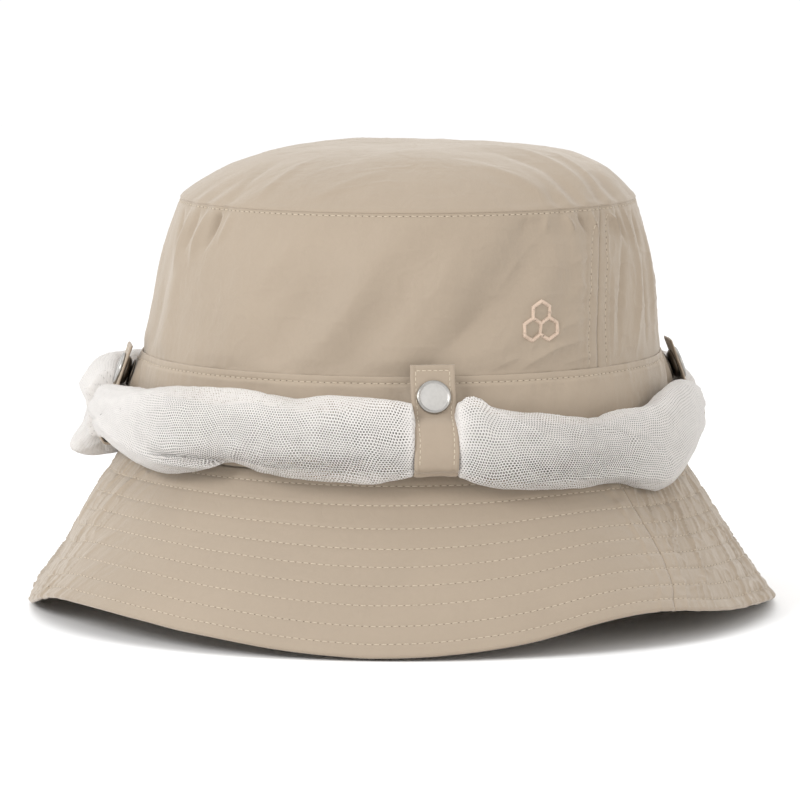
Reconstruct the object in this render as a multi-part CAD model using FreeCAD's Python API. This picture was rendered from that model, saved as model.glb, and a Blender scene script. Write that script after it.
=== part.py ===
"""Bucket hat with a rolled head net (a hat-borne veil), held up by four snap straps.

Units are millimetres.  +Z is up, the hat stands on the edge of its brim at Z = 0 and is centred on the Z axis.
-Y is the front, where one strap sits; the other straps are at +X (right), +Y (back) and -X (left).
An angle PHI runs from the front (-Y) towards the right (+X).  A point at PHI on a ring of half width R is
(R sin PHI, -K R cos PHI), so every ring is a slight oval, K times longer front to back.
"""
import FreeCAD
import Part
import math
import os

V = FreeCAD.Vector

# ---------------------------------------------------------------- driving dimensions
K = 1.02                      # front-to-back over side-to-side
SEAM_A, SEAM_B = 43.0, 223.0  # the two vertical seams of crown, band and brim, degrees of PHI
SEAM_GAP = 0.10               # half of the gap between two panels at a vertical seam, degrees

FABRIC = 0.6                  # crown shell, one layer with its taped seams
BAND_T = 0.8                  # the lower crown band, two layers
BRIM_LAYER = 0.5              # each of the three brim layers
BRIM_GAP = 0.15               # air between brim layers

Z_BRIM_SEAM = 57.3            # where the brim is sewn on
R_BRIM_SEAM = 95.4
R_BRIM_EDGE = 131.5
EDGE_DROP = 1.0               # the top layer's edge above the under layer's edge
Z_BAND_BOTTOM = 57.6
R_BAND_BOTTOM = 95.2
Z_BAND_TOP = 89.5
R_BAND_TOP = 92.6
Z_TIP_SEAM = 143.6            # where the crown's top panel is sewn on
R_TIP_SEAM = 79.7
TIP_RISE = 19.2               # dome of the top panel
TIP_POWER = 3.6

CROWN_SIDE = [(91.0, 86.0), (90.5, 90.0), (88.6, 103.0), (86.8, 116.0), (84.2, 129.0), (81.4, 138.0), (79.7, 143.5)]

# height of the brim's lower edge over the floor, by PHI in degrees
EDGE_WAVE = [(-100, 0.5), (-91, 0.2), (-81, 3.9), (-70, 9.2), (-60, 10.0), (-48, 8.5), (-40, 6.4), (-34, 5.0), (-25, 2.6),
             (-17, 1.1), (-10, 0.4), (-2, 1.0), (7, 3.0), (13, 5.0), (18, 7.4), (22, 9.5), (27, 11.2), (32, 11.8),
             (38, 10.8), (45, 8.8), (53, 6.9), (61, 5.8), (70, 3.9), (79, 1.3), (86, 0.2), (94, 0.1), (105, 2.2),
             (120, 6.6), (135, 9.0), (150, 6.6), (165, 2.4), (179, 0.9), (190, 1.2), (205, 4.6), (220, 9.0),
             (232, 10.2), (243, 7.2), (253, 2.8)]
EDGE_FLARE = 0.25             # the edge moves out by this much of its lift

SWEAT_BOTTOM = (93.9, 58.5)   # outer face of the sweatband, radius and height
SWEAT_TOP = (88.4, 87.0)
SWEAT_T = 1.0

# snap fasteners, line 20
SNAP_Z = 83.5
SNAP_RHO = 94.45              # seat of the stud, at the sides
SNAP_TILT = 20.0              # the snap's axis points out and up by this
STUD_FLANGE_R, STUD_FLANGE_T = 4.8, 0.7
STUD_NECK_R, STUD_BULB_R, STUD_TOP = 1.8, 2.15, 2.7
SOCKET_R, SOCKET_LO, SOCKET_HI = 5.3, 1.1, 3.1
THROAT_R = 2.4
CAP_R = 6.1
POST_R = 1.4
EYELET_R = 4.0

# straps
STRAP_W = 15.0
STRAP_T = 1.0
HINGE_DOWN = 27.5             # from the snap's axis down the strap to the bend it folds about
STRAPS = [("front", 0.0), ("right", 90.0), ("back", 180.0), ("left", 270.0)]

# rolled net
ROLL_C, ROLL_A, ROLL_B = (103.0, 69.0), 7.1, 15.6     # centre (radius, height) and half sizes between straps
PINCH_C, PINCH_A, PINCH_B = (100.8, 67.2), 5.5, 7.5   # the same under a strap
HEM_CORD_R = 1.2
HEM_CORD_C = (100.9, 67.4)

OUT = "parts"
os.makedirs(OUT, exist_ok=True)
made = []


# ---------------------------------------------------------------- helpers
def ring(r, phi_deg, z):
    p = math.radians(phi_deg)
    return V(r * math.sin(p), -K * r * math.cos(p), z)


def spline(points):
    c = Part.BSplineCurve()
    c.interpolate(points)
    return c.toShape()


def section(sides, phi):
    """A closed wire at PHI from sides, each a list of (radius, height); consecutive sides share an end."""
    edges = []
    for side in sides:
        pts = [ring(r, phi, z) for r, z in side]
        edges.append(Part.makeLine(pts[0], pts[1]) if len(pts) == 2 else spline(pts))
    return Part.Wire(edges)


def sweep(sides_at, start, stop, step=7.5):
    """A solid through the sections sides_at(phi) from start to stop, in degrees."""
    n = max(2, int(round((stop - start) / step)))
    phis = [start + (stop - start) * i / n for i in range(n + 1)]
    return Part.makeLoft([section(sides_at(p), p) for p in phis], True, False)


def halves(sides_at, step=7.5):
    """The front panel and the back panel of a ring sewn at SEAM_A and SEAM_B."""
    front = sweep(sides_at, SEAM_B - 360 + SEAM_GAP, SEAM_A - SEAM_GAP, step)
    back = sweep(sides_at, SEAM_A + SEAM_GAP, SEAM_B - SEAM_GAP, step)
    return front, back


def band_ring(sides_at, step=7.5):
    """A tape or band whose two ends butt together at the back."""
    return sweep(sides_at, -179.9, 179.9, step)


def save(name, shape):
    solids = shape.Solids
    assert solids, name
    for s in solids:
        assert s.isValid(), name + " is not valid"
        assert s.Volume > 0, name + " is inside out"
    body = solids[0] if len(solids) == 1 else Part.Compound(solids)
    body.exportStep(os.path.join(OUT, name + ".step"))
    made.append((name, sum(s.Volume for s in solids), len(solids)))


def wave(phi):
    """Height of the brim's lower edge at phi, a smooth closed curve through EDGE_WAVE."""
    knots = EDGE_WAVE
    p = (phi + 100.0) % 360.0 - 100.0
    n = len(knots)
    for i in range(n):
        x0 = knots[i][0]
        x1 = knots[(i + 1) % n][0] + (360 if i == n - 1 else 0)
        if x0 <= p <= x1:
            xm = knots[i - 1][0] - (360 if i == 0 else 0)
            xp = knots[(i + 2) % n][0] + (360 if i + 2 >= n else 0)
            ym, y0, y1, yp = knots[i - 1][1], knots[i][1], knots[(i + 1) % n][1], knots[(i + 2) % n][1]
            m0 = (y1 - ym) / (x1 - xm)
            m1 = (yp - y0) / (xp - x0)
            h = x1 - x0
            t = (p - x0) / h
            return ((2 * t**3 - 3 * t**2 + 1) * y0 + (t**3 - 2 * t**2 + t) * h * m0
                    + (-2 * t**3 + 3 * t**2) * y1 + (t**3 - t**2) * h * m1)
    return knots[0][1]


def offset_line(points, d):
    """points moved by d to the right of their direction, in the (radius, height) plane."""
    out = []
    n = len(points)
    for i in range(n):
        a, b = points[max(0, i - 1)], points[min(n - 1, i + 1)]
        dx, dy = b[0] - a[0], b[1] - a[1]
        l = math.hypot(dx, dy)
        out.append((points[i][0] + d * dy / l, points[i][1] - d * dx / l))
    return out


def shell_sides(outer, t):
    """Four sides of a thin wall whose outer line runs upwards; the wall lies on its inner side."""
    inner = [(r - t, z) for r, z in outer]
    return [outer, [outer[-1], inner[-1]], inner[::-1], [inner[0], outer[0]]]


# ---------------------------------------------------------------- crown
dome = [(R_TIP_SEAM * f, Z_TIP_SEAM + TIP_RISE * (1 - f ** TIP_POWER)) for f in
        (0.0, 0.12, 0.25, 0.38, 0.5, 0.6, 0.7, 0.78, 0.85, 0.91, 0.96, 1.0)]
dome_in = [(max(0.0, r - FABRIC * (r / R_TIP_SEAM) ** 6), z - FABRIC * (1 - 0.6 * (r / R_TIP_SEAM) ** 8)) for r, z in dome]
dome_in[-1] = (R_TIP_SEAM - FABRIC, Z_TIP_SEAM)


def xz(points):
    return [V(r, 0, z) for r, z in points]


top_wire = Part.Wire([spline(xz(dome)), Part.makeLine(*xz([dome[-1], dome_in[-1]])),
                      spline(xz(dome_in[::-1])), Part.makeLine(*xz([dome_in[0], dome[0]]))])
top = Part.Face(top_wire).revolve(V(0, 0, 0), V(0, 0, 1), 360)
stretch = FreeCAD.Matrix()
stretch.scale(V(1, K, 1))
top = top.transformGeometry(stretch)
save("crown_top_panel", top)

front, back = halves(lambda p: shell_sides(CROWN_SIDE, FABRIC))
save("crown_side_panel_front", front)
save("crown_side_panel_back", back)

tip_tape = [(80.0, 137.2), (78.1, 143.0)]
save("crown_top_seam_tape", band_ring(lambda p: shell_sides(tip_tape, 0.5), 10))

band_outer = [(R_BAND_BOTTOM, Z_BAND_BOTTOM), (R_BAND_TOP, Z_BAND_TOP)]
band_front, band_back = halves(lambda p: shell_sides(band_outer, BAND_T), 10)

sweat = [SWEAT_BOTTOM, SWEAT_TOP]
save("sweatband", band_ring(lambda p: shell_sides(sweat, SWEAT_T), 10))

net_tape = [(95.12, 60.0), (94.85, 63.4)]
net_tape = [(r + 0.55, z) for r, z in net_tape]
save("veil_attachment_tape", band_ring(lambda p: shell_sides(net_tape, 0.45), 10))

# ---------------------------------------------------------------- brim


def brim_line(phi, depth, s0=0.0, s1=1.0, n=6):
    """The brim's slope at PHI, from seam to edge, at depth under its top face."""
    z_edge = wave(phi)
    a = (R_BRIM_SEAM, Z_BRIM_SEAM)
    e = (R_BRIM_EDGE + EDGE_FLARE * z_edge, z_edge + EDGE_DROP)
    dx, dz = e[0] - a[0], e[1] - a[1]
    l = math.hypot(dx, dz)
    nx, nz = dz / l, -dx / l                  # inwards and down
    pts = []
    for i in range(n):
        s = s0 + (s1 - s0) * i / (n - 1)
        sag = 0.9 * math.sin(math.pi * s) * (1 - 0.3 * s)
        pts.append((a[0] + dx * s + nx * (sag + depth), a[1] + dz * s + nz * (sag + depth)))
    return pts


def brim_layer(depth, t, s0=0.0, s1=1.0):
    def sides(phi):
        upper = brim_line(phi, depth, s0, s1)
        lower = brim_line(phi, depth + t, s0, s1)
        return [upper, [upper[-1], lower[-1]], lower[::-1], [lower[0], upper[0]]]
    return halves(sides, 6.0)


for name, depth, s0, s1 in (("brim_top", 0.0, 0.0, 1.0),
                            ("brim_stiffener", BRIM_LAYER + BRIM_GAP, 0.03, 0.955),
                            ("brim_under", 2 * (BRIM_LAYER + BRIM_GAP), 0.0, 1.0)):
    front, back = brim_layer(depth, BRIM_LAYER, s0, s1)
    save(name + "_front", front)
    save(name + "_back", back)

# bias tape that covers the seam of brim and band on the inside, between wall and sweatband
seam_tape = [(94.15, 54.6), (94.1, 57.9)]
inner_tape = [(92.75, 53.6), (92.75, 58.0)]
save("brim_seam_tape", band_ring(lambda p: shell_sides(inner_tape, 0.5), 10))

# ---------------------------------------------------------------- straps and snaps
tilt = math.radians(SNAP_TILT)
N = (math.cos(tilt), math.sin(tilt))          # along the snap, outwards
T = (math.sin(tilt), -math.cos(tilt))         # down the strap


def at(shift, h, down):
    """(radius, height) of a point h out along the snap's axis and down along the strap."""
    return (SNAP_RHO + shift + h * N[0] + down * T[0], SNAP_Z + h * N[1] + down * T[1])


def turned(points, shift):
    """A solid of revolution about the snap's axis, from (radius, height along the axis) points."""
    pts = [V(r, 0, h) for r, h in points]
    face = Part.Face(Part.makePolygon(pts + [pts[0]]))
    s = face.revolve(V(0, 0, 0), V(0, 0, 1), 360)
    s.rotate(V(0, 0, 0), V(0, 1, 0), 90 - SNAP_TILT)
    s.translate(V(SNAP_RHO + shift, 0, SNAP_Z))
    return s


def to_azimuth(shape, az):
    s = shape.copy()
    s.rotate(V(0, 0, 0), V(0, 0, 1), az - 90)
    return s


def strip(centre, t, width, round_end=None):
    """A strap of thickness t along a centre line in the (radius, height) plane.  round_end rounds its last end."""
    left, right = offset_line(centre, -t / 2), offset_line(centre, t / 2)
    y = -width / 2
    p = lambda q: V(q[0], y, q[1])
    edges = [spline([p(q) for q in left]) if len(left) > 2 else Part.makeLine(p(left[0]), p(left[1]))]
    if round_end:
        edges.append(Part.Arc(p(left[-1]), p(round_end), p(right[-1])).toShape())
    else:
        edges.append(Part.makeLine(p(left[-1]), p(right[-1])))
    right = right[::-1]
    edges.append(spline([p(q) for q in right]) if len(right) > 2 else Part.makeLine(p(right[0]), p(right[1])))
    edges.append(Part.makeLine(p(right[-1]), p(left[0])))
    return Part.Face(Part.Wire(edges)).extrude(V(0, width, 0))


studs, posts = [], []
hinges = {}
for name, az in STRAPS:
    along_y = abs(math.cos(math.radians(az)))
    shift = (K - 1) * 93.1 * along_y

    # the fixed root of the strap, sewn in at the brim seam, and the flap that folds about the bend
    H = at(shift, 1.8, HINGE_DOWN)
    hinges[name] = H
    mid = 3.1 + STRAP_T / 2
    tail, snap, low = at(shift, mid, -9.5), at(shift, mid, 0), at(shift, mid, 7.0)
    s = shift
    curve = [tail, at(shift, mid, -5), snap, at(shift, mid, 3.8), low, (104.25 + s, 75.0), (107.25 + s, 70.8),
             (108.7 + s, 66.0), (108.75 + s, 62.0), (107.55 + s, 59.15), H]
    # direction at the hinge, inwards and slightly down
    d = (H[0] - curve[-2][0], H[1] - curve[-2][1])
    l = math.hypot(*d)
    tip = (H[0] + d[0] / l * STRAP_T / 2, H[1] + d[1] / l * STRAP_T / 2)
    flap = strip(curve, STRAP_T, STRAP_W, tip)
    # pressed flat between cap and socket, with a hole for the cap's post
    hole = turned([(0, 2.0), (1.45, 2.0), (1.45, 5.5), (0, 5.5)], shift)
    under = turned([(0, 1.5), (5.8, 1.5), (5.8, SOCKET_HI + 0.06), (0, SOCKET_HI + 0.06)], shift)
    over = turned([(0, 4.06), (6.6, 4.06), (6.6, 5.5), (0, 5.5)], shift)
    flap = flap.cut(hole).cut(under).cut(over)
    save("strap_flap_" + name, to_azimuth(flap, az))

    root = strip([(95.62 + (K - 1) * 95.2 * along_y, 57.95), (99.0 + s, 57.6), (H[0] - 1.65, H[1] - 0.25)], STRAP_T, STRAP_W)
    save("strap_root_" + name, to_azimuth(root, az))

    # snap: cap and socket on the flap, with a ring spring in the socket
    cap = turned([(0, 2.9), (1.25, 2.9), (1.25, 4.1), (CAP_R - 0.25, 4.1), (CAP_R, 4.4), (CAP_R, 4.75), (CAP_R - 0.2, 5.1),
                  (CAP_R - 0.55, 5.32), (CAP_R - 0.95, 5.25), (CAP_R - 1.15, 5.0), (CAP_R - 1.7, 5.08), (CAP_R - 3.0, 5.3),
                  (CAP_R - 4.6, 5.43), (0, 5.48)], shift)
    save("snap_cap_" + name, to_azimuth(cap, az))
    socket = turned([(THROAT_R, SOCKET_LO), (THROAT_R + 0.6, SOCKET_LO - 0.0), (4.3, SOCKET_LO + 0.25), (SOCKET_R, 2.3),
                     (SOCKET_R, SOCKET_HI), (1.35, SOCKET_HI), (1.35, 2.85), (THROAT_R, 2.85), (THROAT_R, 2.15),
                     (2.95, 2.15), (2.95, 1.5), (THROAT_R, 1.5)], shift)
    save("snap_socket_" + name, to_azimuth(socket, az))
    spring = Part.makeTorus(2.55, 0.25)
    spring.rotate(V(0, 0, 0), V(0, 1, 0), 90 - SNAP_TILT)
    c = at(shift, 1.82, 0)
    spring.translate(V(c[0], 0, c[1]))
    save("snap_ring_spring_" + name, to_azimuth(spring, az))

    # stud on the band, riveted by its post from inside
    stud = turned([(POST_R + 0.05, 0.03), (STUD_FLANGE_R - 0.2, 0.03), (STUD_FLANGE_R, 0.2), (STUD_FLANGE_R, 0.5),
                   (STUD_FLANGE_R - 0.3, STUD_FLANGE_T), (STUD_NECK_R + 0.1, STUD_FLANGE_T), (STUD_NECK_R, 0.85),
                   (STUD_NECK_R, 1.45), (STUD_BULB_R, 1.8), (STUD_BULB_R, 2.2), (STUD_BULB_R - 0.45, STUD_TOP),
                   (0, STUD_TOP), (0, 1.95), (POST_R + 0.05, 1.95)], shift)
    studs.append(to_azimuth(stud, az))
    post = turned([(0, -4.1), (EYELET_R - 0.2, -4.1), (EYELET_R, -3.95), (EYELET_R, -3.65), (EYELET_R - 0.2, -3.5),
                   (POST_R, -3.5), (POST_R, 1.8), (0, 1.8)], shift)
    posts.append(to_azimuth(post, az))

    # a firm seat under the stud where the band is pulled out square to the snap, and the post's hole
    seat = turned([(0, -3.2), (5.3, -3.2), (5.3, 0), (0, 0)], shift)
    core_r = lambda z: R_BAND_BOTTOM + (z - Z_BAND_BOTTOM) * (R_BAND_TOP - R_BAND_BOTTOM) / (Z_BAND_TOP - Z_BAND_BOTTOM) - 0.45
    wires = []
    for z in (70.0, 100.0):
        e = Part.Ellipse(V(0, 0, z), K * core_r(z), core_r(z))
        e.rotate(FreeCAD.Placement(V(0, 0, 0), FreeCAD.Rotation(V(0, 0, 1), 90)))
        wires.append(Part.Wire([e.toShape()]))
    core = Part.makeLoft(wires, True, True)
    seat = to_azimuth(seat, az).cut(core)
    slit = to_azimuth(turned([(0, -6), (POST_R + 0.12, -6), (POST_R + 0.12, 1), (0, 1)], shift), az)
    if name in ("front", "left"):
        band_front = band_front.fuse(seat).cut(slit)
    else:
        band_back = band_back.fuse(seat).cut(slit)

save("crown_band_front", band_front)
save("crown_band_back", band_back)
save("snap_studs", Part.Compound(studs))
save("snap_posts", Part.Compound(posts))

# ---------------------------------------------------------------- rolled net with its elastic hem inside


def pinch(phi):
    """1 under a strap, 0 between straps."""
    d = min(abs((phi - az + 180) % 360 - 180) for _, az in STRAPS)
    if d <= 4.9:
        return 1.0
    if d >= 13.0:
        return 0.0
    t = (13.0 - d) / (13.0 - 4.9)
    return t * t * (3 - 2 * t)


def roll_section(phi):
    w = pinch(phi)
    c = (ROLL_C[0] + (PINCH_C[0] - ROLL_C[0]) * w, ROLL_C[1] + (PINCH_C[1] - ROLL_C[1]) * w)
    a, b = ROLL_A + (PINCH_A - ROLL_A) * w, ROLL_B + (PINCH_B - ROLL_B) * w
    pts = []
    for i in range(14):
        u = 2 * math.pi * i / 14
        # a slightly squared oval
        cu, su = math.cos(u), math.sin(u)
        f = 1.0 / (abs(cu) ** 2.5 + abs(su) ** 2.5) ** (1 / 2.5)
        pts.append(ring(c[0] + a * cu * f, phi, c[1] + b * su * f))
    curve = Part.BSplineCurve()
    curve.interpolate(Points=pts, PeriodicFlag=True)
    return Part.Wire([curve.toShape()])


offsets = [0, 2.5, 4.9, 6.6, 8.4, 10.4, 13, 18, 25, 32, 39, 45, 51, 58, 65, 72, 77, 79.6, 81.6, 83.4, 85.1, 87.5]
quarters = []
for q in range(4):
    phis = [90.0 * q + o for o in offsets] + [90.0 * (q + 1)]
    quarters.append(Part.makeLoft([roll_section(p) for p in phis], True, False))
roll = quarters[0]
for q in quarters[1:]:
    roll = roll.fuse(q)
cord = Part.makeTorus(HEM_CORD_C[0], HEM_CORD_R)
cord.translate(V(0, 0, HEM_CORD_C[1]))
cord = cord.transformGeometry(stretch)
channel = Part.makeTorus(HEM_CORD_C[0], HEM_CORD_R + 0.12)
channel.translate(V(0, 0, HEM_CORD_C[1]))
channel = channel.transformGeometry(stretch)
roll = roll.cut(channel)
save("veil_net_roll", roll)
save("veil_hem_elastic", cord)

for n, v, c in made:
    print("%-28s %10.1f mm3  %d solid(s)" % (n, v, c))
for n, h in hinges.items():
    print("hinge", n, [round(x, 3) for x in h])
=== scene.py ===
import math

import bpy
import numpy as np
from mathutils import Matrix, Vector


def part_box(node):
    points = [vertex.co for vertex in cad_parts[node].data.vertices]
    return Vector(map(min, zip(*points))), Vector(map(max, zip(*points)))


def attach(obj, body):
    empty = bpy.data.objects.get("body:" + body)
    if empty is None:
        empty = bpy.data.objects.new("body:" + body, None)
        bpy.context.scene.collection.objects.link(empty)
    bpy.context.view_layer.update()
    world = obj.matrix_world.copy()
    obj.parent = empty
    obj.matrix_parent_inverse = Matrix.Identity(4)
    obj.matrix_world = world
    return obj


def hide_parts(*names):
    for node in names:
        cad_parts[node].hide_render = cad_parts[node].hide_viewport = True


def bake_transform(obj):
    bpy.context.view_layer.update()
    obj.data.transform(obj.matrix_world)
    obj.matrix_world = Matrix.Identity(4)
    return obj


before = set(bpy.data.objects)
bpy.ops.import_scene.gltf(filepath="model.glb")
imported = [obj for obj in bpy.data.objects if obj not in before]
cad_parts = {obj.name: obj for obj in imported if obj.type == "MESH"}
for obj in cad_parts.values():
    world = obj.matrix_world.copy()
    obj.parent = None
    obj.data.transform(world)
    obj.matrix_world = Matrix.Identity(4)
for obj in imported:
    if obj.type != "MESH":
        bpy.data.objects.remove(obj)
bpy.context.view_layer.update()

MM = 0.001
K = 1.02            # every ring is a slight oval, this much longer front to back
TAU = 2 * math.pi

# ------------------------------------------------------------------ camera
D, AZ, PITCH, SCALE, AIM = 1.700, -6.2, 6.5, 0.000353, 0.0711
a = math.radians(AZ)
cam_data = bpy.data.cameras.new("camera")
cam = bpy.data.objects.new("camera", cam_data)
bpy.context.scene.collection.objects.link(cam)
cam.location = (math.sin(a) * D, -math.cos(a) * D, AIM + D * math.tan(math.radians(PITCH)))
cam.rotation_euler = (math.radians(90 - PITCH), 0, a)
cam_data.sensor_width = 36.0
cam_data.lens = 36.0 * (D / math.cos(math.radians(PITCH)) / SCALE) / 800.0
cam_data.shift_x = -1 / 800.0
cam_data.clip_start, cam_data.clip_end = 0.05, 20
bpy.context.scene.camera = cam


# ------------------------------------------------------------------ small numeric helpers
def smooth(x, lo, hi):
    t = np.clip((np.asarray(x, float) - lo) / (hi - lo), 0, 1)
    return t * t * (3 - 2 * t)


def gauss(x, w):
    return np.exp(-(np.asarray(x, float) / w) ** 2)


def wrap180(x):
    return (np.asarray(x, float) + 180.0) % 360.0 - 180.0


def noise1(x, seed, period=None):
    """Smooth noise in -1..1 at x, one knot a unit; period in knots makes it close on itself."""
    rng = np.random.RandomState(seed)
    n = int(period) if period else 4096
    table = rng.uniform(-1, 1, n)
    x = np.asarray(x, float)
    i = np.floor(x).astype(int)
    f = x - i
    f = f * f * (3 - 2 * f)
    return table[i % n] * (1 - f) + table[(i + 1) % n] * f


def noise2(u, v, seed, pu=None):
    """Smooth noise in -1..1 at (u, v), one knot a unit in each; pu closes it in u."""
    rng = np.random.RandomState(seed)
    nu, nv = int(pu) if pu else 512, 512
    table = rng.uniform(-1, 1, (nu, nv))
    u, v = np.broadcast_arrays(np.asarray(u, float), np.asarray(v, float))
    i, j = np.floor(u).astype(int), np.floor(v).astype(int)
    fu, fv = u - i, v - j
    fu, fv = fu * fu * fu * (fu * (fu * 6 - 15) + 10), fv * fv * fv * (fv * (fv * 6 - 15) + 10)
    t = lambda p, q: table[p % nu, q % nv]
    return (t(i, j) * (1 - fu) + t(i + 1, j) * fu) * (1 - fv) + (t(i, j + 1) * (1 - fu) + t(i + 1, j + 1) * fu) * fv


def curve_of(knots):
    """A function through (x, y) knots, smooth and monotone between them (Fritsch-Carlson)."""
    xs = np.array([k[0] for k in knots], float)
    ys = np.array([k[1] for k in knots], float)
    h = np.diff(xs)
    d = np.diff(ys) / h
    m = np.zeros(len(xs))
    m[1:-1] = np.where(d[:-1] * d[1:] > 0, 2 * d[:-1] * d[1:] / np.where(d[:-1] + d[1:] == 0, 1, d[:-1] + d[1:]), 0)
    m[0], m[-1] = d[0], d[-1]

    def f(x):
        x = np.asarray(x, float)
        i = np.clip(np.searchsorted(xs, x) - 1, 0, len(h) - 1)
        t = np.clip((x - xs[i]) / h[i], 0, 1)
        return ((2 * t**3 - 3 * t**2 + 1) * ys[i] + (t**3 - 2 * t**2 + t) * h[i] * m[i]
                + (-2 * t**3 + 3 * t**2) * ys[i + 1] + (t**3 - t**2) * h[i] * m[i + 1])
    return f


def periodic(knots, start):
    """A smooth closed function of degrees through (degree, value) knots; the first knot is at start."""
    xs = np.array([k[0] for k in knots], float)
    ys = np.array([k[1] for k in knots], float)
    xe = np.concatenate([xs[-2:] - 360, xs, xs[:3] + 360])
    ye = np.concatenate([ys[-2:], ys, ys[:3]])

    def f(x):
        p = (np.asarray(x, float) - start) % 360.0 + start
        i = np.clip(np.searchsorted(xe, p, side="right") - 1, 1, len(xe) - 3)
        x0, x1 = xe[i], xe[i + 1]
        m0 = (ye[i + 1] - ye[i - 1]) / (x1 - xe[i - 1])
        m1 = (ye[i + 2] - ye[i]) / (xe[i + 2] - x0)
        h = x1 - x0
        t = (p - x0) / h
        return ((2 * t**3 - 3 * t**2 + 1) * ye[i] + (t**3 - 2 * t**2 + t) * h * m0
                + (-2 * t**3 + 3 * t**2) * ye[i + 1] + (t**3 - t**2) * h * m1)
    return f


def at_ring(r, phi_deg, z):
    p = np.radians(phi_deg)
    r, p, z = np.broadcast_arrays(np.asarray(r, float), p, np.asarray(z, float))
    return np.stack([r * np.sin(p), -K * r * np.cos(p), z], -1)


# ------------------------------------------------------------------ mesh builders (all in millimetres)
def new_object(name, verts, faces, mats, smooth_shade=True, face_mats=None, uv=None):
    me = bpy.data.meshes.new(name)
    v = np.asarray(verts, np.float64).reshape(-1, 3) * MM
    me.from_pydata(v.tolist(), [], [tuple(int(i) for i in f) for f in faces] if not isinstance(faces, np.ndarray) else faces.tolist())
    me.update()
    o = bpy.data.objects.new(name, me)
    bpy.context.scene.collection.objects.link(o)
    for m in (mats if isinstance(mats, (list, tuple)) else [mats]):
        me.materials.append(m)
    if smooth_shade:
        me.polygons.foreach_set("use_smooth", [True] * len(me.polygons))
    if face_mats is not None:
        me.polygons.foreach_set("material_index", np.asarray(face_mats, np.int32))
    if uv is not None:
        layer = me.uv_layers.new(name="weave")
        idx = np.empty(len(me.loops), np.int32)
        me.loops.foreach_get("vertex_index", idx)
        layer.data.foreach_set("uv", np.asarray(uv, np.float64)[idx].ravel())
    me.validate()
    return o


def grid_faces(n, m, wrap_n=False, wrap_m=False, base=0, flip=False):
    """Quads of an n by m grid of vertices."""
    i = np.arange(n if wrap_n else n - 1)
    j = np.arange(m if wrap_m else m - 1)
    I, J = np.meshgrid(i, j, indexing="ij")
    I2, J2 = (I + 1) % n, (J + 1) % m
    f = np.stack([I * m + J, I2 * m + J, I2 * m + J2, I * m + J2], -1).reshape(-1, 4) + base
    return f[:, ::-1] if flip else f


def grid_normals(P, wrap_n=False, wrap_m=False):
    """Unit normals of a grid of points (n, m, 3), by central differences."""
    def diff(A, axis, wrap):
        if wrap:
            return np.roll(A, -1, axis) - np.roll(A, 1, axis)
        return np.gradient(A, axis=axis)
    a, b = diff(P, 0, wrap_n), diff(P, 1, wrap_m)
    n = np.cross(a, b)
    l = np.linalg.norm(n, axis=-1, keepdims=True)
    return n / np.maximum(l, 1e-9)


def shell(name, outer, inner, mats, wrap_n=False, uv=None, **kw):
    """A closed thin wall between two grids of points of the same size, outer and inner."""
    n, m, _ = outer.shape
    verts = np.concatenate([outer.reshape(-1, 3), inner.reshape(-1, 3)])
    faces = [grid_faces(n, m, wrap_n), grid_faces(n, m, wrap_n, base=n * m, flip=True)]
    cnt = n if wrap_n else n - 1
    i = np.arange(cnt)
    i2 = (i + 1) % n
    o = n * m
    faces.append(np.stack([i * m, i * m + o, i2 * m + o, i2 * m], -1))                                # first column
    faces.append(np.stack([i * m + m - 1, i2 * m + m - 1, i2 * m + m - 1 + o, i * m + m - 1 + o], -1))  # last column
    if not wrap_n:
        j = np.arange(m - 1)
        faces.append(np.stack([j, j + 1, j + 1 + o, j + o], -1))
        b = (n - 1) * m
        faces.append(np.stack([b + j, b + j + o, b + j + 1 + o, b + j + 1], -1))
    faces = np.concatenate(faces)
    u = None
    if uv is not None:
        u = np.concatenate([uv.reshape(-1, 2), uv.reshape(-1, 2)])
    return new_object(name, verts, faces, mats, uv=u, **kw)


def frames_along(P, up):
    """Tangent, side and up of each point of a polyline P (n, 3), with a wished up (n, 3)."""
    T = np.gradient(P, axis=0)
    T /= np.maximum(np.linalg.norm(T, axis=1, keepdims=True), 1e-9)
    U = up - (up * T).sum(1, keepdims=True) * T
    U /= np.maximum(np.linalg.norm(U, axis=1, keepdims=True), 1e-9)
    S = np.cross(T, U)
    return T, S, U


class Threads:
    """Many short thread pieces gathered in one mesh."""

    def __init__(self):
        self.v, self.f, self.caps, self.n = [], [], [], 0

    def tube(self, P, up, radius, sides=6, flat=1.0, taper=0.55):
        """A closed tube along points P, radius mm; flat squeezes it along up."""
        P, up = np.asarray(P, float), np.asarray(up, float)
        T, S, U = frames_along(P, up)
        n = len(P)
        ang = np.arange(sides) * TAU / sides
        rad = np.full(n, radius, float)
        rad[0] *= taper
        rad[-1] *= taper
        ring = (S[:, None, :] * np.cos(ang)[None, :, None] + flat * U[:, None, :] * np.sin(ang)[None, :, None]) * rad[:, None, None] + P[:, None, :]
        base = self.n
        self.v.append(ring.reshape(-1, 3))
        self.f.append(grid_faces(n, sides, wrap_m=True, base=base, flip=True))
        last = base + (n - 1) * sides
        self.caps.append([base + q for q in range(sides)])
        self.caps.append([last + q for q in range(sides)][::-1])
        self.n += n * sides

    def build(self, name, mat):
        return new_object(name, np.concatenate(self.v), np.concatenate(self.f).tolist() + self.caps, mat)


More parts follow.
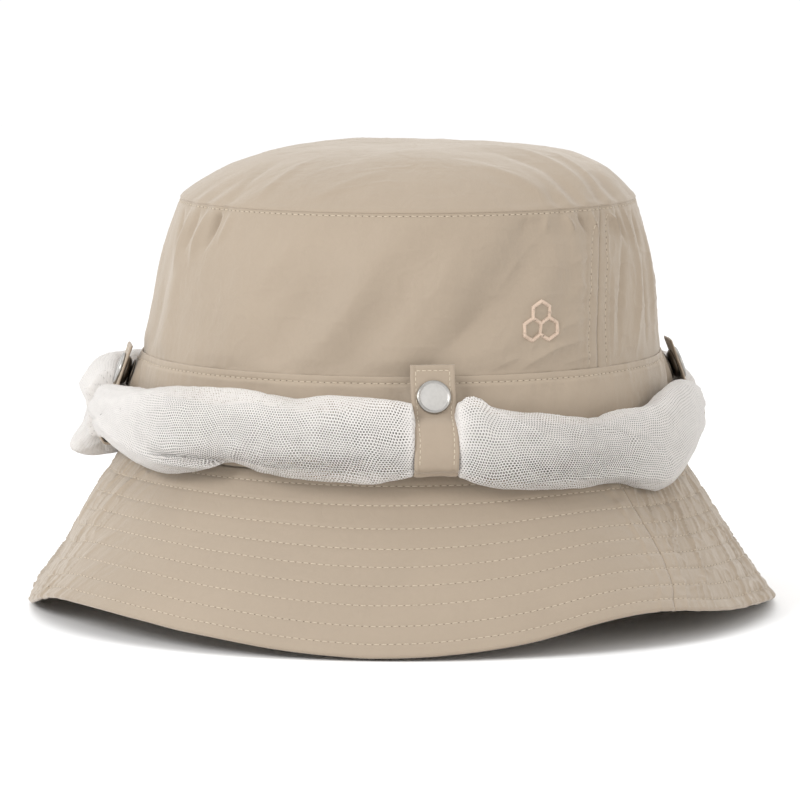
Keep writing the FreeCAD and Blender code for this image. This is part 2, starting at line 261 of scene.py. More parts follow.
def stitch_row(th, points, normals, pitch=2.5, fill=0.72, radius=0.19, lift=0.10, dip=0.20, seed=1, closed=True, holes=None, sides=5):
    """Lockstitches along a dense polyline (mm): short arched threads that dip into the needle holes between them."""
    P = np.asarray(points, float)
    N = np.asarray(normals, float)
    if closed:
        P, N = np.vstack([P, P[:1]]), np.vstack([N, N[:1]])
    seg = np.linalg.norm(np.diff(P, axis=0), axis=1)
    s = np.concatenate([[0], np.cumsum(seg)])
    n = max(1, int(round(s[-1] / pitch)))
    step = s[-1] / n
    rng = np.random.RandomState(seed)
    t = np.array([-1.0, -0.72, 0.0, 0.72, 1.0])
    h = np.array([-dip, lift * 0.7, lift * 1.15, lift * 0.7, -dip])
    for k in range(n):
        c = (k + 0.5) * step + rng.uniform(-0.06, 0.06)
        half = 0.5 * fill * step * rng.uniform(0.92, 1.06)
        pos = np.clip(c + t * half, 0, s[-1])
        if holes is not None:
            pos = np.concatenate([pos, np.clip(k * step + np.array([-0.17, 0.0, 0.17]), 0, s[-1])])
        q = np.stack([np.interp(pos, s, P[:, i]) for i in range(3)], -1)
        m = np.stack([np.interp(pos, s, N[:, i]) for i in range(3)], -1)
        m /= np.maximum(np.linalg.norm(m, axis=1, keepdims=True), 1e-9)
        T, S, U = frames_along(q[:5], m[:5])
        side = rng.uniform(-0.07, 0.07)
        th.tube(q[:5] + m[:5] * h[:, None] + S * (side * t[:, None]), m[:5], radius, sides=sides, flat=0.85)
        # painted shade: a small flat near-black disc at each needle hole stands in for the hole's shadow
        if holes is not None and k > 0:
            holes.tube(q[5:] + m[5:] * 0.02, m[5:], 0.23, sides=6, flat=0.45, taper=0.4)


# ------------------------------------------------------------------ materials
def nodes_of(name):
    m = bpy.data.materials.new(name)
    m.use_nodes = True
    nt = m.node_tree
    nt.nodes.clear()
    out = nt.nodes.new("ShaderNodeOutputMaterial")
    return m, nt, out


def N_(nt, kind, **props):
    n = nt.nodes.new(kind)
    for k, v in props.items():
        if k in n.inputs.keys() if hasattr(n.inputs, "keys") else False:
            n.inputs[k].default_value = v
        else:
            setattr(n, k, v)
    return n


def set_in(n, **vals):
    for k, v in vals.items():
        n.inputs[k.replace("_", " ")].default_value = v


def math_node(nt, op, a, b=None, clamp=False):
    n = nt.nodes.new("ShaderNodeMath")
    n.operation = op
    n.use_clamp = clamp
    for i, x in enumerate((a, b)):
        if x is None:
            continue
        if isinstance(x, (int, float)):
            n.inputs[i].default_value = x
        else:
            nt.links.new(x, n.inputs[i])
    return n.outputs[0]


def noise_node(nt, vec, scale, detail=3.0, rough=0.55, distortion=0.0):
    n = nt.nodes.new("ShaderNodeTexNoise")
    n.inputs["Scale"].default_value = scale
    n.inputs["Detail"].default_value = detail
    n.inputs["Roughness"].default_value = rough
    n.inputs["Distortion"].default_value = distortion
    nt.links.new(vec, n.inputs["Vector"])
    return n.outputs["Fac"]


def mapping(nt, vec, scale):
    n = nt.nodes.new("ShaderNodeMapping")
    n.inputs["Scale"].default_value = scale
    nt.links.new(vec, n.inputs["Vector"])
    return n.outputs[0]


def ramp(nt, fac, stops):
    n = nt.nodes.new("ShaderNodeValToRGB")
    e = n.color_ramp.elements
    while len(e) < len(stops):
        e.new(0.5)
    for el, (p, c) in zip(e, stops):
        el.position = p
        el.color = (c[0], c[1], c[2], 1)
    nt.links.new(fac, n.inputs[0])
    return n.outputs[0]


def fabric(name, base, dark=0.94, rough=0.62, bump=0.35, sheen=0.25, weave_mm=0.34, crinkle=1.0, spec=0.28):
    """Crinkled woven nylon: a fine plain weave, small random crinkles and slow changes of shade.  Uses the UV map, in mm."""
    m, nt, out = nodes_of(name)
    b = nt.nodes.new("ShaderNodeBsdfPrincipled")
    tc = nt.nodes.new("ShaderNodeTexCoord")
    obj = tc.outputs["Object"]
    uv = nt.nodes.new("ShaderNodeUVMap")
    uv.uv_map = "weave"
    uvv = uv.outputs[0]
    # plain weave: two sine families
    sep = nt.nodes.new("ShaderNodeSeparateXYZ")
    nt.links.new(uvv, sep.inputs[0])
    k = TAU / weave_mm
    wx = math_node(nt, "SINE", math_node(nt, "MULTIPLY", sep.outputs[0], k))
    wy = math_node(nt, "SINE", math_node(nt, "MULTIPLY", sep.outputs[1], k))
    weave = math_node(nt, "MULTIPLY", wx, wy)
    # crinkles of three sizes, stretched along the height
    n1 = noise_node(nt, mapping(nt, uvv, (0.42, 0.30, 1)), 1.0, 4.0, 0.6, 0.8)
    n2 = noise_node(nt, mapping(nt, uvv, (0.13, 0.095, 1)), 1.0, 3.0, 0.55, 1.2)
    n3 = noise_node(nt, obj, 28.0, 2.0, 0.5)
    slub = noise_node(nt, mapping(nt, uvv, (1.9, 0.06, 1)), 1.0, 2.0, 0.6)
    h = math_node(nt, "ADD", math_node(nt, "MULTIPLY", n1, 0.36 * crinkle), math_node(nt, "MULTIPLY", n2, 1.2 * crinkle))
    h = math_node(nt, "ADD", h, math_node(nt, "MULTIPLY", slub, 0.05))
    h = math_node(nt, "ADD", h, math_node(nt, "MULTIPLY", weave, 0.045))
    bp = nt.nodes.new("ShaderNodeBump")
    bp.inputs["Strength"].default_value = bump
    bp.inputs["Distance"].default_value = 0.0007
    nt.links.new(h, bp.inputs["Height"])
    nt.links.new(bp.outputs[0], b.inputs["Normal"])
    # colour: slow mottling and a hint of the yarns
    mix = math_node(nt, "ADD", math_node(nt, "MULTIPLY", n3, 0.45), math_node(nt, "MULTIPLY", n1, 0.22))
    mix = math_node(nt, "ADD", mix, math_node(nt, "MULTIPLY", slub, 0.06))
    mix = math_node(nt, "ADD", mix, math_node(nt, "MULTIPLY", weave, 0.03))
    col = ramp(nt, mix, [(0.18, [c * dark for c in base]), (0.37, base), (0.58, [min(1, c * (2 - dark)) for c in base])])
    nt.links.new(col, b.inputs["Base Color"])
    r = math_node(nt, "ADD", math_node(nt, "MULTIPLY", n1, 0.12), rough - 0.06)
    nt.links.new(r, b.inputs["Roughness"])
    b.inputs["Specular IOR Level"].default_value = spec
    b.inputs["Sheen Weight"].default_value = sheen
    b.inputs["Sheen Roughness"].default_value = 0.45
    b.inputs["Sheen Tint"].default_value = (1, 0.97, 0.92, 1)
    nt.links.new(b.outputs[0], out.inputs[0])
    return m


def thread_mat(name, base, rough=0.55):
    """Twisted sewing thread: fine slanted plies."""
    m, nt, out = nodes_of(name)
    b = nt.nodes.new("ShaderNodeBsdfPrincipled")
    tc = nt.nodes.new("ShaderNodeTexCoord")
    w = nt.nodes.new("ShaderNodeTexWave")
    w.wave_type = "BANDS"
    w.bands_direction = "DIAGONAL"
    w.inputs["Scale"].default_value = 900
    w.inputs["Distortion"].default_value = 1.5
    nt.links.new(tc.outputs["Object"], w.inputs["Vector"])
    n = noise_node(nt, tc.outputs["Object"], 260, 2.0)
    col = ramp(nt, math_node(nt, "ADD", math_node(nt, "MULTIPLY", w.outputs["Fac"], 0.35), math_node(nt, "MULTIPLY", n, 0.65)),
               [(0.2, [c * 0.86 for c in base]), (0.6, base), (0.9, [min(1, c * 1.08) for c in base])])
    nt.links.new(col, b.inputs["Base Color"])
    bp = nt.nodes.new("ShaderNodeBump")
    bp.inputs["Strength"].default_value = 0.4
    bp.inputs["Distance"].default_value = 0.00008
    nt.links.new(w.outputs["Fac"], bp.inputs["Height"])
    nt.links.new(bp.outputs[0], b.inputs["Normal"])
    b.inputs["Roughness"].default_value = rough
    b.inputs["Specular IOR Level"].default_value = 0.4
    b.inputs["Sheen Weight"].default_value = 0.2
    nt.links.new(b.outputs[0], out.inputs[0])
    return m


def metal(name, base, rough, bump=0.12, scale=900, worn=0.0, metallic=1.0):
    """Plated metal with fine scratches and slow stains."""
    m, nt, out = nodes_of(name)
    b = nt.nodes.new("ShaderNodeBsdfPrincipled")
    tc = nt.nodes.new("ShaderNodeTexCoord")
    o = tc.outputs["Object"]
    fine = noise_node(nt, o, scale, 3.0, 0.6)
    slow = noise_node(nt, o, scale * 0.12, 3.0, 0.6)
    col = ramp(nt, math_node(nt, "ADD", math_node(nt, "MULTIPLY", fine, 0.35), math_node(nt, "MULTIPLY", slow, 0.65)),
               [(0.25, [c * 0.80 for c in base]), (0.55, base), (0.85, [min(1, c * (1.10 + worn)) for c in base])])
    nt.links.new(col, b.inputs["Base Color"])
    nt.links.new(math_node(nt, "ADD", math_node(nt, "MULTIPLY", slow, 0.16), rough - 0.08), b.inputs["Roughness"])
    b.inputs["Metallic"].default_value = metallic
    bp = nt.nodes.new("ShaderNodeBump")
    bp.inputs["Strength"].default_value = bump
    bp.inputs["Distance"].default_value = 0.00005
    nt.links.new(fine, bp.inputs["Height"])
    nt.links.new(bp.outputs[0], b.inputs["Normal"])
    nt.links.new(b.outputs[0], out.inputs[0])
    return m


def net_mat(name, base, pitch, hole, see=1.0, translucent=0.35, painted_shade_amount=0.0):
    """White hexagonal net: holes on a triangular lattice, from the UV map in mm.  hole is the threshold, 3 = no hole.
    The vertex attribute gather closes the holes where the cloth is bunched."""
    m, nt, out = nodes_of(name)
    uv = nt.nodes.new("ShaderNodeUVMap")
    uv.uv_map = "weave"
    at = nt.nodes.new("ShaderNodeAttribute")
    at.attribute_name = "gather"
    warp = nt.nodes.new("ShaderNodeVectorMath")
    warp.operation = "ADD"
    wn = nt.nodes.new("ShaderNodeTexNoise")
    wn.inputs["Scale"].default_value = 0.10
    wn.inputs["Detail"].default_value = 1.0
    nt.links.new(uv.outputs[0], wn.inputs["Vector"])
    sc = nt.nodes.new("ShaderNodeVectorMath")
    sc.operation = "MULTIPLY"
    sc.inputs[1].default_value = (2.2, 2.2, 0)
    nt.links.new(wn.outputs["Color"], sc.inputs[0])
    nt.links.new(uv.outputs[0], warp.inputs[0])
    nt.links.new(sc.outputs[0], warp.inputs[1])
    k = TAU / (pitch * math.sqrt(3) / 2)
    waves = []
    for deg in (90, 30, 150):
        d = nt.nodes.new("ShaderNodeVectorMath")
        d.operation = "DOT_PRODUCT"
        d.inputs[1].default_value = (k * math.cos(math.radians(deg)), k * math.sin(math.radians(deg)), 0)
        nt.links.new(warp.outputs[0], d.inputs[0])
        waves.append(math_node(nt, "COSINE", d.outputs["Value"]))
    f = math_node(nt, "ADD", math_node(nt, "ADD", waves[0], waves[1]), waves[2])
    n = noise_node(nt, uv.outputs[0], 0.22, 3.0, 0.6)
    edge = math_node(nt, "ADD", math_node(nt, "MULTIPLY", at.outputs["Fac"], 3.1), math_node(nt, "ADD", math_node(nt, "MULTIPLY", n, 0.8), hole - 0.4))
    # 1 in a hole, 0 on the thread, with a soft edge
    o1 = math_node(nt, "MULTIPLY", math_node(nt, "SUBTRACT", f, edge), 2.6, )
    o2 = nt.nodes.new("ShaderNodeClamp")
    nt.links.new(math_node(nt, "ADD", o1, 0.5), o2.inputs[0])
    hole_f = math_node(nt, "MULTIPLY", o2.outputs[0], see)
    b = nt.nodes.new("ShaderNodeBsdfPrincipled")
    col = ramp(nt, n, [(0.3, [c * 0.95 for c in base]), (0.7, base)])
    if painted_shade_amount:
        # painted shade: the vertex attribute shade mixes the colour toward about a fifth of it, standing in for the
        # shadow inside the roll
        sh = nt.nodes.new("ShaderNodeAttribute")
        sh.attribute_name = "shade"
        dk = nt.nodes.new("ShaderNodeMix")
        dk.data_type = "RGBA"
        for i_ in dk.inputs:
            if i_.name == "A" and i_.type == "RGBA":
                nt.links.new(col, i_)
            if i_.name == "B" and i_.type == "RGBA":
                i_.default_value = (base[0] * 0.22, base[1] * 0.20, base[2] * 0.18, 1)
        nt.links.new(math_node(nt, "MULTIPLY", sh.outputs["Fac"], painted_shade_amount), dk.inputs["Factor"])
        col = [o_ for o_ in dk.outputs if o_.type == "RGBA"][0]
    nt.links.new(col, b.inputs["Base Color"])
    b.inputs["Roughness"].default_value = 0.55
    b.inputs["Specular IOR Level"].default_value = 0.25
    b.inputs["Sheen Weight"].default_value = 0.15
    bp = nt.nodes.new("ShaderNodeBump")
    bp.invert = True
    bp.inputs["Strength"].default_value = 0.45
    bp.inputs["Distance"].default_value = 0.00006
    nt.links.new(f, bp.inputs["Height"])
    nt.links.new(bp.outputs[0], b.inputs["Normal"])
    t = nt.nodes.new("ShaderNodeBsdfTranslucent")
    nt.links.new(col, t.inputs["Color"])
    mix1 = nt.nodes.new("ShaderNodeMixShader")
    mix1.inputs[0].default_value = translucent
    nt.links.new(b.outputs[0], mix1.inputs[1])
    nt.links.new(t.outputs[0], mix1.inputs[2])
    tr = nt.nodes.new("ShaderNodeBsdfTransparent")
    mix2 = nt.nodes.new("ShaderNodeMixShader")
    nt.links.new(hole_f, mix2.inputs[0])
    nt.links.new(mix1.outputs[0], mix2.inputs[1])
    nt.links.new(tr.outputs[0], mix2.inputs[2])
    nt.links.new(mix2.outputs[0], out.inputs[0])
    return m


BEIGE = (0.318, 0.258, 0.196)
M_crown = fabric("nylon_crown", BEIGE, sheen=0.35)
# the band is the crown's nylon made 7 % lighter: painted light that offsets the shade from the net above it
M_band_painted_light = fabric("nylon_band_painted_light", tuple(c * 1.07 for c in BEIGE), sheen=0.35)
M_top = fabric("nylon_top", BEIGE, crinkle=1.1, sheen=0.35)
M_brim = fabric("nylon_brim", BEIGE, crinkle=0.9, sheen=0.45)
M_under = fabric("nylon_brim_under", (0.325, 0.266, 0.205), crinkle=0.9)
M_strap = fabric("nylon_strap", (0.318, 0.257, 0.196), crinkle=0.35, bump=0.22)
M_tape = fabric("tape_twill", (0.37, 0.31, 0.24), weave_mm=0.8, crinkle=0.3, bump=0.5)
M_sweat = fabric("towelling", (0.50, 0.44, 0.36), weave_mm=1.1, crinkle=0.3, bump=0.8, rough=0.85, sheen=0.5, spec=0.1)
M_stiff = fabric("interlining", (0.62, 0.61, 0.57), crinkle=0.3, rough=0.8)
M_thread = thread_mat("thread_beige", (0.52, 0.44, 0.335))
M_thread_light = thread_mat("thread_cream", (0.56, 0.487, 0.373))
# near-black discs at the needle holes: painted shade of the holes
M_hole_shadow = thread_mat("needle_hole_painted_shade", (0.10, 0.075, 0.05), 0.9)
M_motif = thread_mat("thread_embroidery", (0.60, 0.47, 0.37))
M_cap = metal("nickel_cap", (0.40, 0.388, 0.37), 0.30)
M_cap_face = metal("nickel_cap_face", (0.46, 0.448, 0.43), 0.60, metallic=0.35)
M_dark = metal("antique_metal", (0.17, 0.145, 0.12), 0.34, worn=0.8)
M_wire = metal("spring_wire", (0.55, 0.54, 0.52), 0.30)
M_elastic = thread_mat("elastic_cover", (0.70, 0.69, 0.66), 0.7)
M_net_out = net_mat("net_outer", (0.853, 0.826, 0.799), 0.95, 0.10)
# the second and inner turns are the same white net given darker colours (about 0.66 and 0.42 of white) plus the shade
# mix: painted shade of the roll's inside
M_net_mid_painted_shade = net_mat("net_second_turn_painted_shade", (0.66, 0.64, 0.615), 0.95, 0.35, painted_shade_amount=1.0)
M_net_in_painted_shade = net_mat("net_inner_turns_painted_shade", (0.42, 0.40, 0.375), 0.95, 5.5, see=0.0, translucent=0.15, painted_shade_amount=1.0)

# ------------------------------------------------------------------ sizes shared with the CAD, read back from its boxes where they can be
STRAPS = [("front", 0.0), ("right", 90.0), ("back", 180.0), ("left", 270.0)]
top_low, top_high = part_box("crown_top_panel")
Z_TIP, R_TIP = top_low[2] / MM, top_high[0] / MM
DOME_H = (top_high[2] - top_low[2]) / MM
band_low, band_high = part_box("crown_band_back")
Z_BAND_BOTTOM, Z_BAND_TOP = band_low[2] / MM, band_high[2] / MM
R_BAND_BOTTOM, R_BAND_TOP = 95.2, 92.6
R_BRIM_SEAM, R_BRIM_EDGE, EDGE_DROP, EDGE_FLARE = 95.4, 131.5, 1.0, 0.25
Z_BRIM_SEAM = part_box("brim_top_back")[1][2] / MM
wave = periodic([(-100, 0.5), (-91, 0.2), (-81, 3.9), (-70, 9.2), (-60, 10.0), (-48, 8.5), (-40, 6.4), (-34, 5.0), (-25, 2.6),
                 (-17, 1.1), (-10, 0.4), (-2, 1.0), (7, 3.0), (13, 5.0), (18, 7.4), (22, 9.5), (27, 11.2), (32, 11.8),
                 (38, 10.8), (45, 8.8), (53, 6.9), (61, 5.8), (70, 3.9), (79, 1.3), (86, 0.2), (94, 0.1), (105, 2.2),
                 (120, 6.6), (135, 9.0), (150, 6.6), (165, 2.4), (179, 0.9), (190, 1.2), (205, 4.6), (220, 9.0),
                 (232, 10.2), (243, 7.2), (253, 2.8)], -100)
crown_r = curve_of([(80.0, 91.2), (86.0, 91.0), (90.0, 90.7), (93.0, 90.3), (103.0, 88.6), (116.0, 86.8), (129.0, 84.2), (138.0, 81.4), (Z_TIP, R_TIP)])
# the soft crown leans a little to its left and right with height
lean = curve_of([(0, 0.0), (57, 0.0), (88, 0.2), (105, 1.2), (125, 1.9), (145, 2.5), (150, 3.3), (155, 4.3), (160, 4.7), (165, 4.8)])
SNAP_Z, SNAP_RHO, TILT = 83.5, 94.45, math.radians(20.0)
SNAP_DROP = 1.6          # the snaps' centre below the straps' reference point, along the strap
SN, ST = (math.cos(TILT), math.sin(TILT)), (math.sin(TILT), -math.cos(TILT))

# the two sewn seams: nearly upright on the crown, and running a little forward on the brim
_crown_a = curve_of([(57, 40.8), (88, 40.8), (99, 41.2), (112, 42.2), (129, 44.6), (140, 48.0), (146, 49.8)])
_brim_a = curve_of([(-0.1, 41.0), (0.0, 41.0), (0.5, 41.5), (0.8, 39.6), (1.0, 36.6), (1.1, 36.0)])


def crown_seams(Z):
    return (_crown_a(Z), 223.0 + 0.03 * (np.asarray(Z, float) - 88.0))


def brim_seams(S):
    return (_brim_a(S), 223.0 + 2.0 * np.asarray(S, float))


def ride_on(o, body, slot, *nodes):
    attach(o, body)
    if nodes:
        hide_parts(*nodes)
    return o


# ------------------------------------------------------------------ crown sides
CR = 88.0


def fold(U, Z, phi0, z0, angle, length, width, amp):
    """A soft ridge (amp > 0) or hollow (amp < 0) in mm, lying at angle degrees from the horizontal, centred on (phi0, z0)."""
    du, dz = np.radians(wrap180(U - phi0)) * CR, Z - z0
    ca, sa = math.cos(math.radians(angle)), math.sin(math.radians(angle))
    s, t = du * ca + dz * sa, -du * sa + dz * ca
    return amp * np.exp(-np.abs(s / length) ** 3) * np.exp(-(t / width) ** 2)


def crease(U, Z, p0, z0, p1, z1, width, amp, crisp=0.5, bend=0.0):
    """A ridge from (p0, z0) to (p1, z1), soft (crisp 0) or with a sharp top (crisp 1), bowed by bend mm."""
    dx, dz = np.radians(wrap180(U - p0)) * CR, Z - z0
    ex, ez = math.radians((p1 - p0 + 180) % 360 - 180) * CR, z1 - z0
    L = math.hypot(ex, ez)
    tx, tz = ex / L, ez / L
    s, t = (dx * tx + dz * tz) / L, -dx * tz + dz * tx
    q = np.clip(s, 0, 1)
    t = t - bend * 4 * q * (1 - q)
    fade = np.sin(math.pi * np.clip((s + 0.14) / 1.28, 0, 1)) ** 1.2
    x = np.abs(t) / width
    return amp * fade * ((1 - crisp) * np.exp(-x * x) + crisp * np.exp(-x * 1.7))


SOFT_FOLDS = [
    (1, 112, 50, 34, 9.0, 1.1), (15, 116, 50, 34, 8.0, -1.4), (27, 122, 62, 20, 7.0, 0.9), (-8, 104, 40, 22, 7.0, -0.7),
    (-20, 112, 56, 30, 8.0, 0.8), (-30, 106, 58, 26, 8.0, -0.7), (8, 96, 20, 20, 4.5, 0.5), (-14, 130, 20, 22, 6.0, 0.4),
    (-45, 112, 76, 28, 8.0, 0.5), (-72, 112, 86, 26, 5.5, 0.8), (-82, 104, 82, 22, 5.0, -0.8), (-92, 114, 92, 24, 5.0, 0.8),
    (30, 132, 30, 12, 5.0, -0.4), (36, 116, 80, 20, 3.5, 0.45),
    (100, 112, 70, 26, 7, 0.9), (116, 106, 50, 24, 6, -1.0), (131, 120, 64, 24, 7, 0.9), (148, 108, 40, 26, 6, -1.1),
    (163, 118, 55, 22, 7, 0.9), (180, 104, 34, 24, 6, -0.9), (196, 120, 72, 22, 6, 0.8), (212, 108, 82, 24, 5, -0.7),
    (238, 112, 84, 24, 5, 0.8), (250, 120, 96, 22, 4, -0.7), (262, 108, 92, 22, 5, 0.6)]
CREASES = [
    # left end of the tip seam: gathers hanging from it
    (-59.0, 144.0, -61.5, 129.0, 2.0, -1.6, 0.5, 0.6), (-63.5, 142.5, -66.0, 124.0, 2.6, 1.1, 0.4, -0.8), (-68.5, 142.0, -69.5, 128.0, 1.8, -0.8, 0.5, 0.0),
    (-73.5, 141.5, -73.0, 121.0, 2.6, 0.9, 0.3, 0.6), (-79.5, 141.0, -76.0, 127.0, 2.0, -0.7, 0.4, 0.0), (-54.5, 142.5, -56.5, 131.0, 2.0, 0.7, 0.4, 0.4),
    # across the front
    (-12.5, 127.0, -26.0, 97.0, 6.0, 0.9, 0.15, 1.0), (-0.9, 116.0, -14.0, 93.0, 5.0, 0.7, 0.2, 0.0), (3.0, 97.5, 14.0, 115.0, 4.5, -0.6, 0.3, 0.0),
    (26.0, 134.0, 13.5, 114.0, 4.0, 0.55, 0.5, -1.5), (8.0, 138.0, -1.0, 115.0, 6.0, 0.6, 0.2, 0.0), (-32.5, 137.0, -41.0, 116.0, 5.0, 0.55, 0.2, 0.0),
    (19.5, 90.5, 30.5, 98.5, 1.8, 0.55, 0.6, 0.4), (25.5, 96.2, 38.3, 99.8, 1.5, 0.6, 0.7, 0.3), (29.5, 91.2, 39.3, 94.0, 1.3, 0.5, 0.7, 0.3),
    (28.5, 103.2, 38.6, 106.6, 1.6, 0.5, 0.6, 0.4), (31.0, 111.0, 39.5, 113.0, 1.4, -0.35, 0.6, 0.0), (33.0, 118.0, 41.5, 116.5, 1.6, 0.4, 0.6, 0.0),
    (20.0, 100.0, 27.0, 104.0, 1.8, -0.4, 0.5, 0.0), (12.0, 90.5, 19.0, 95.0, 1.6, 0.4, 0.6, 0.0), (34.0, 125.0, 42.0, 128.0, 1.5, 0.4, 0.6, 0.0),
    # right end of the tip seam
    (34.8, 142.4, 37.0, 136.0, 1.2, 0.9, 0.6, 0.0), (39.6, 142.4, 41.8, 135.0, 1.2, -0.9, 0.6, 0.0), (44.0, 142.2, 45.0, 134.0, 1.2, 0.9, 0.6, 0.0),
    (50.6, 142.3, 55.0, 133.0, 1.5, 1.2, 0.6, 0.5), (55.5, 142.0, 58.0, 130.0, 1.5, -0.9, 0.5, 0.0), (61.0, 142.0, 61.5, 128.0, 1.7, 1.0, 0.5, 0.0),
    (24.5, 142.0, 21.0, 133.5, 1.8, -0.5, 0.5, 0.0), (29.5, 142.0, 28.5, 136.0, 1.3, 0.6, 0.6, 0.0), (67.5, 141.0, 66.0, 126.0, 2.0, -0.8, 0.4, 0.0),
    # right panel: folds from top to bottom
    (63.5, 135.0, 56.5, 93.5, 2.2, 0.9, 0.5, 1.0), (55.8, 131.0, 49.2, 97.5, 1.8, -0.8, 0.5, -1.0), (67.5, 124.0, 63.3, 95.5, 2.2, -0.8, 0.5, 0.8),
    (48.5, 118.0, 45.8, 92.0, 1.3, 0.5, 0.5, 0.0), (73.0, 136.0, 70.0, 96.0, 2.6, 0.9, 0.4, 1.5), (80.0, 130.0, 77.0, 92.0, 2.6, -0.8, 0.4, 1.0), (87.0, 134.0, 85.0, 98.0, 3.0, 0.8, 0.3, 0.0)]
# back
_rng = np.random.RandomState(5)
for _p in range(98, 262, 7):
    _z0 = _rng.uniform(118, 140)
    CREASES.append((_p, _z0, _p + _rng.uniform(-9, 5), _z0 - _rng.uniform(14, 34), _rng.uniform(1.6, 3.2), _rng.choice([-1, 1]) * _rng.uniform(0.45, 0.95), 0.45, _rng.uniform(-1.5, 1.5)))
# short gathers that cross the tip seam: azimuth, width in degrees, amplitude, lean
TIP_GATHERS = [(-76, 1.6, -0.8, 0.4), (-71, 1.5, 0.9, 0.3), (-66.5, 1.4, -0.9, 0.6), (-62, 1.6, 0.9, 0.8), (-57.5, 1.5, -0.9, 0.9), (-51, 2.0, 0.5, 0.5),
               (-84, 2.0, 0.6, 0.2), (22, 2.2, -0.45, -0.4), (30.5, 1.5, 0.6, -0.6), (34, 1.2, -0.7, -0.6), (37.5, 1.2, 0.8, -0.5),
               (41, 1.3, -0.9, -0.3), (44.5, 1.2, 0.8, 0), (50, 1.3, -0.9, 0.3), (54, 1.4, 0.9, 0.5), (59, 1.5, -0.9, 0.6),
               (65, 2.0, 0.8, 0.4), (73, 2.4, -0.7, 0.3), (82, 2.6, 0.6, 0.2), (95, 3, -0.6, 0), (108, 2.6, 0.7, 0.3), (117, 2.0, -0.7, 0.3),
               (139, 3, 0.5, -0.3), (156, 2.6, -0.6, 0.4), (171, 2.2, 0.6, 0.2), (186, 2.8, -0.5, 0), (203, 2.4, 0.7, 0.4),
               (214, 1.6, -0.8, 0.4), (222, 1.4, 0.8, 0.2), (232, 1.4, -0.9, -0.2), (238, 1.6, 0.8, -0.4), (247, 2.2, -0.7, -0.2), (259, 2.4, 0.5, 0)]


def calm(U):
    """The gathers lie flatter straight out at both sides."""
    return 1 - 0.8 * np.exp(-((np.abs(wrap180(U)) - 92) / 14) ** 2)


def tip_gather(U, drop):
    """Puckers along the tip seam at a distance drop (mm) from it, above or below."""
    g = 0
    for p, w, amp, ln in TIP_GATHERS:
        d = wrap180(U - p - ln * drop * 0.30)
        g = g + amp * np.exp(-(d / (w * (1 + 0.05 * drop))) ** 2)
    return g * np.exp(-drop / 6.5) * (1 - np.exp(-(drop + 0.30) / 1.2))


def ridged(u, v, seed, pu=None, sharp=3.0):
    """Thin crisp ridges on a flat ground, 0..1."""
    n = np.abs(noise2(u, v, seed, pu))
    return np.clip(1 - n * 2.2, 0, 1) ** sharp


def crown_disp(U, Z):
    d = 0
    for f in SOFT_FOLDS:
        d = d + 1.7 * fold(U, Z, *f)
    for f in CREASES:
        d = d + 1.8 * crease(U, Z, *f)
    d = d * (1 - 0.5 * np.exp(-((np.abs(wrap180(U)) - 92) / 10) ** 2))
    d = d + 0.30 * noise2(U / 360 * 46, Z / 15, 11, 46) + 0.11 * noise2(U / 360 * 120, Z / 9 + U / 40, 12, 120)
    # fine crumple, stronger on the right half than on the left
    w = wrap180(U)
    crum = 0.35 + 0.65 * smooth(w, -20, 30) * smooth(-w, -175, -150) + 0.5 * smooth(np.abs(w), 120, 150)
    d = d + crum * (0.30 * ridged(U / 360 * 64 + 0.8 * noise2(U / 360 * 30, Z / 12, 17, 30), Z / 8.0, 14, 64) + 0.12 * ridged(U / 360 * 150, Z / 4.2, 15, 150)
                    + 0.03 * noise2(U / 360 * 300, Z / 3.0, 13, 300))
    # held smooth where it is sewn: at the tip seam, at the band
    d = d * smooth(Z, 89.0, 95.0) * smooth(Z_TIP - Z, 0.0, 5.0)
    d = d + tip_gather(U, np.maximum(Z_TIP - Z, 0)) * 0.9 * calm(U)
    # small gathers above the band
    up = np.maximum(Z - 89.5, 0)
    g = noise2(U / 360 * 150, 0.3 + 0 * Z, 21, 150) + 0.6 * noise2(U / 360 * 260, 1.3 + 0 * Z, 22, 260)
    d = d + 0.26 * g * np.exp(-up / 4.5) * smooth(up, 0.0, 1.0)
    # the pressed-open seams, the turnings' edges and the pulls beside the stitch rows
    for k, s in enumerate(crown_seams(Z)):
        q = np.radians(wrap180(U - s)) * CR
        a_ = np.abs(q)
        e = -0.42 * np.exp(-(a_ / 0.6) ** 2) + 0.34 * smooth(a_, 6.9, 5.7) - 0.26 * np.exp(-((a_ - 4.3) / 0.6) ** 2)
        for side in (-1, 1):
            e = e + 0.26 * np.exp(-((q - side * 5.4) / 2.8) ** 2) * noise2(0 * U + side + 2, Z / 2.4, 31 + k * 2 + side)
        d = d + e * smooth(Z, 88, 90) * smooth(Z_TIP - Z, 0.2, 2.0)
    # stitch groove below the tip seam; the side's edge tucks in under the top panel's
    d = d - 0.22 * np.exp(-((Z_TIP - 1.45 - Z) / 0.5) ** 2) - 0.34 * np.exp(-((Z_TIP - Z) / 0.7) ** 2)
    return d


def crown_point(U, Z, d):
    P = at_ring(crown_r(Z) + d, U, Z)
    P[..., 0] += lean(Z)
    return P


T_CROWN = 0.55
for name, first, node in (("crown_side_front", True, "crown_side_panel_front"), ("crown_side_back", False, "crown_side_panel_back")):
    n = 425 if first else 400
    z = np.concatenate([np.linspace(86.2, 89, 4), np.linspace(89.5, 138.0, 92), np.linspace(138.5, Z_TIP - 0.05, 20)])
    tau, Z = np.meshgrid(np.linspace(0, 1, n), z, indexing="ij")
    sa_, sb_ = crown_seams(Z)
    lo, hi = (sb_ - 360, sa_) if first else (sa_, sb_)
    U = lo + 0.008 + (hi - lo - 0.016) * tau
    d = crown_disp(U, Z)
    outer, inner = crown_point(U, Z, d), crown_point(U, Z, d - T_CROWN)
    o = shell(name, outer, inner, M_crown, uv=np.stack([np.radians(U) * CR, Z], -1))
    ride_on(o, "root", "crown_nylon", node)

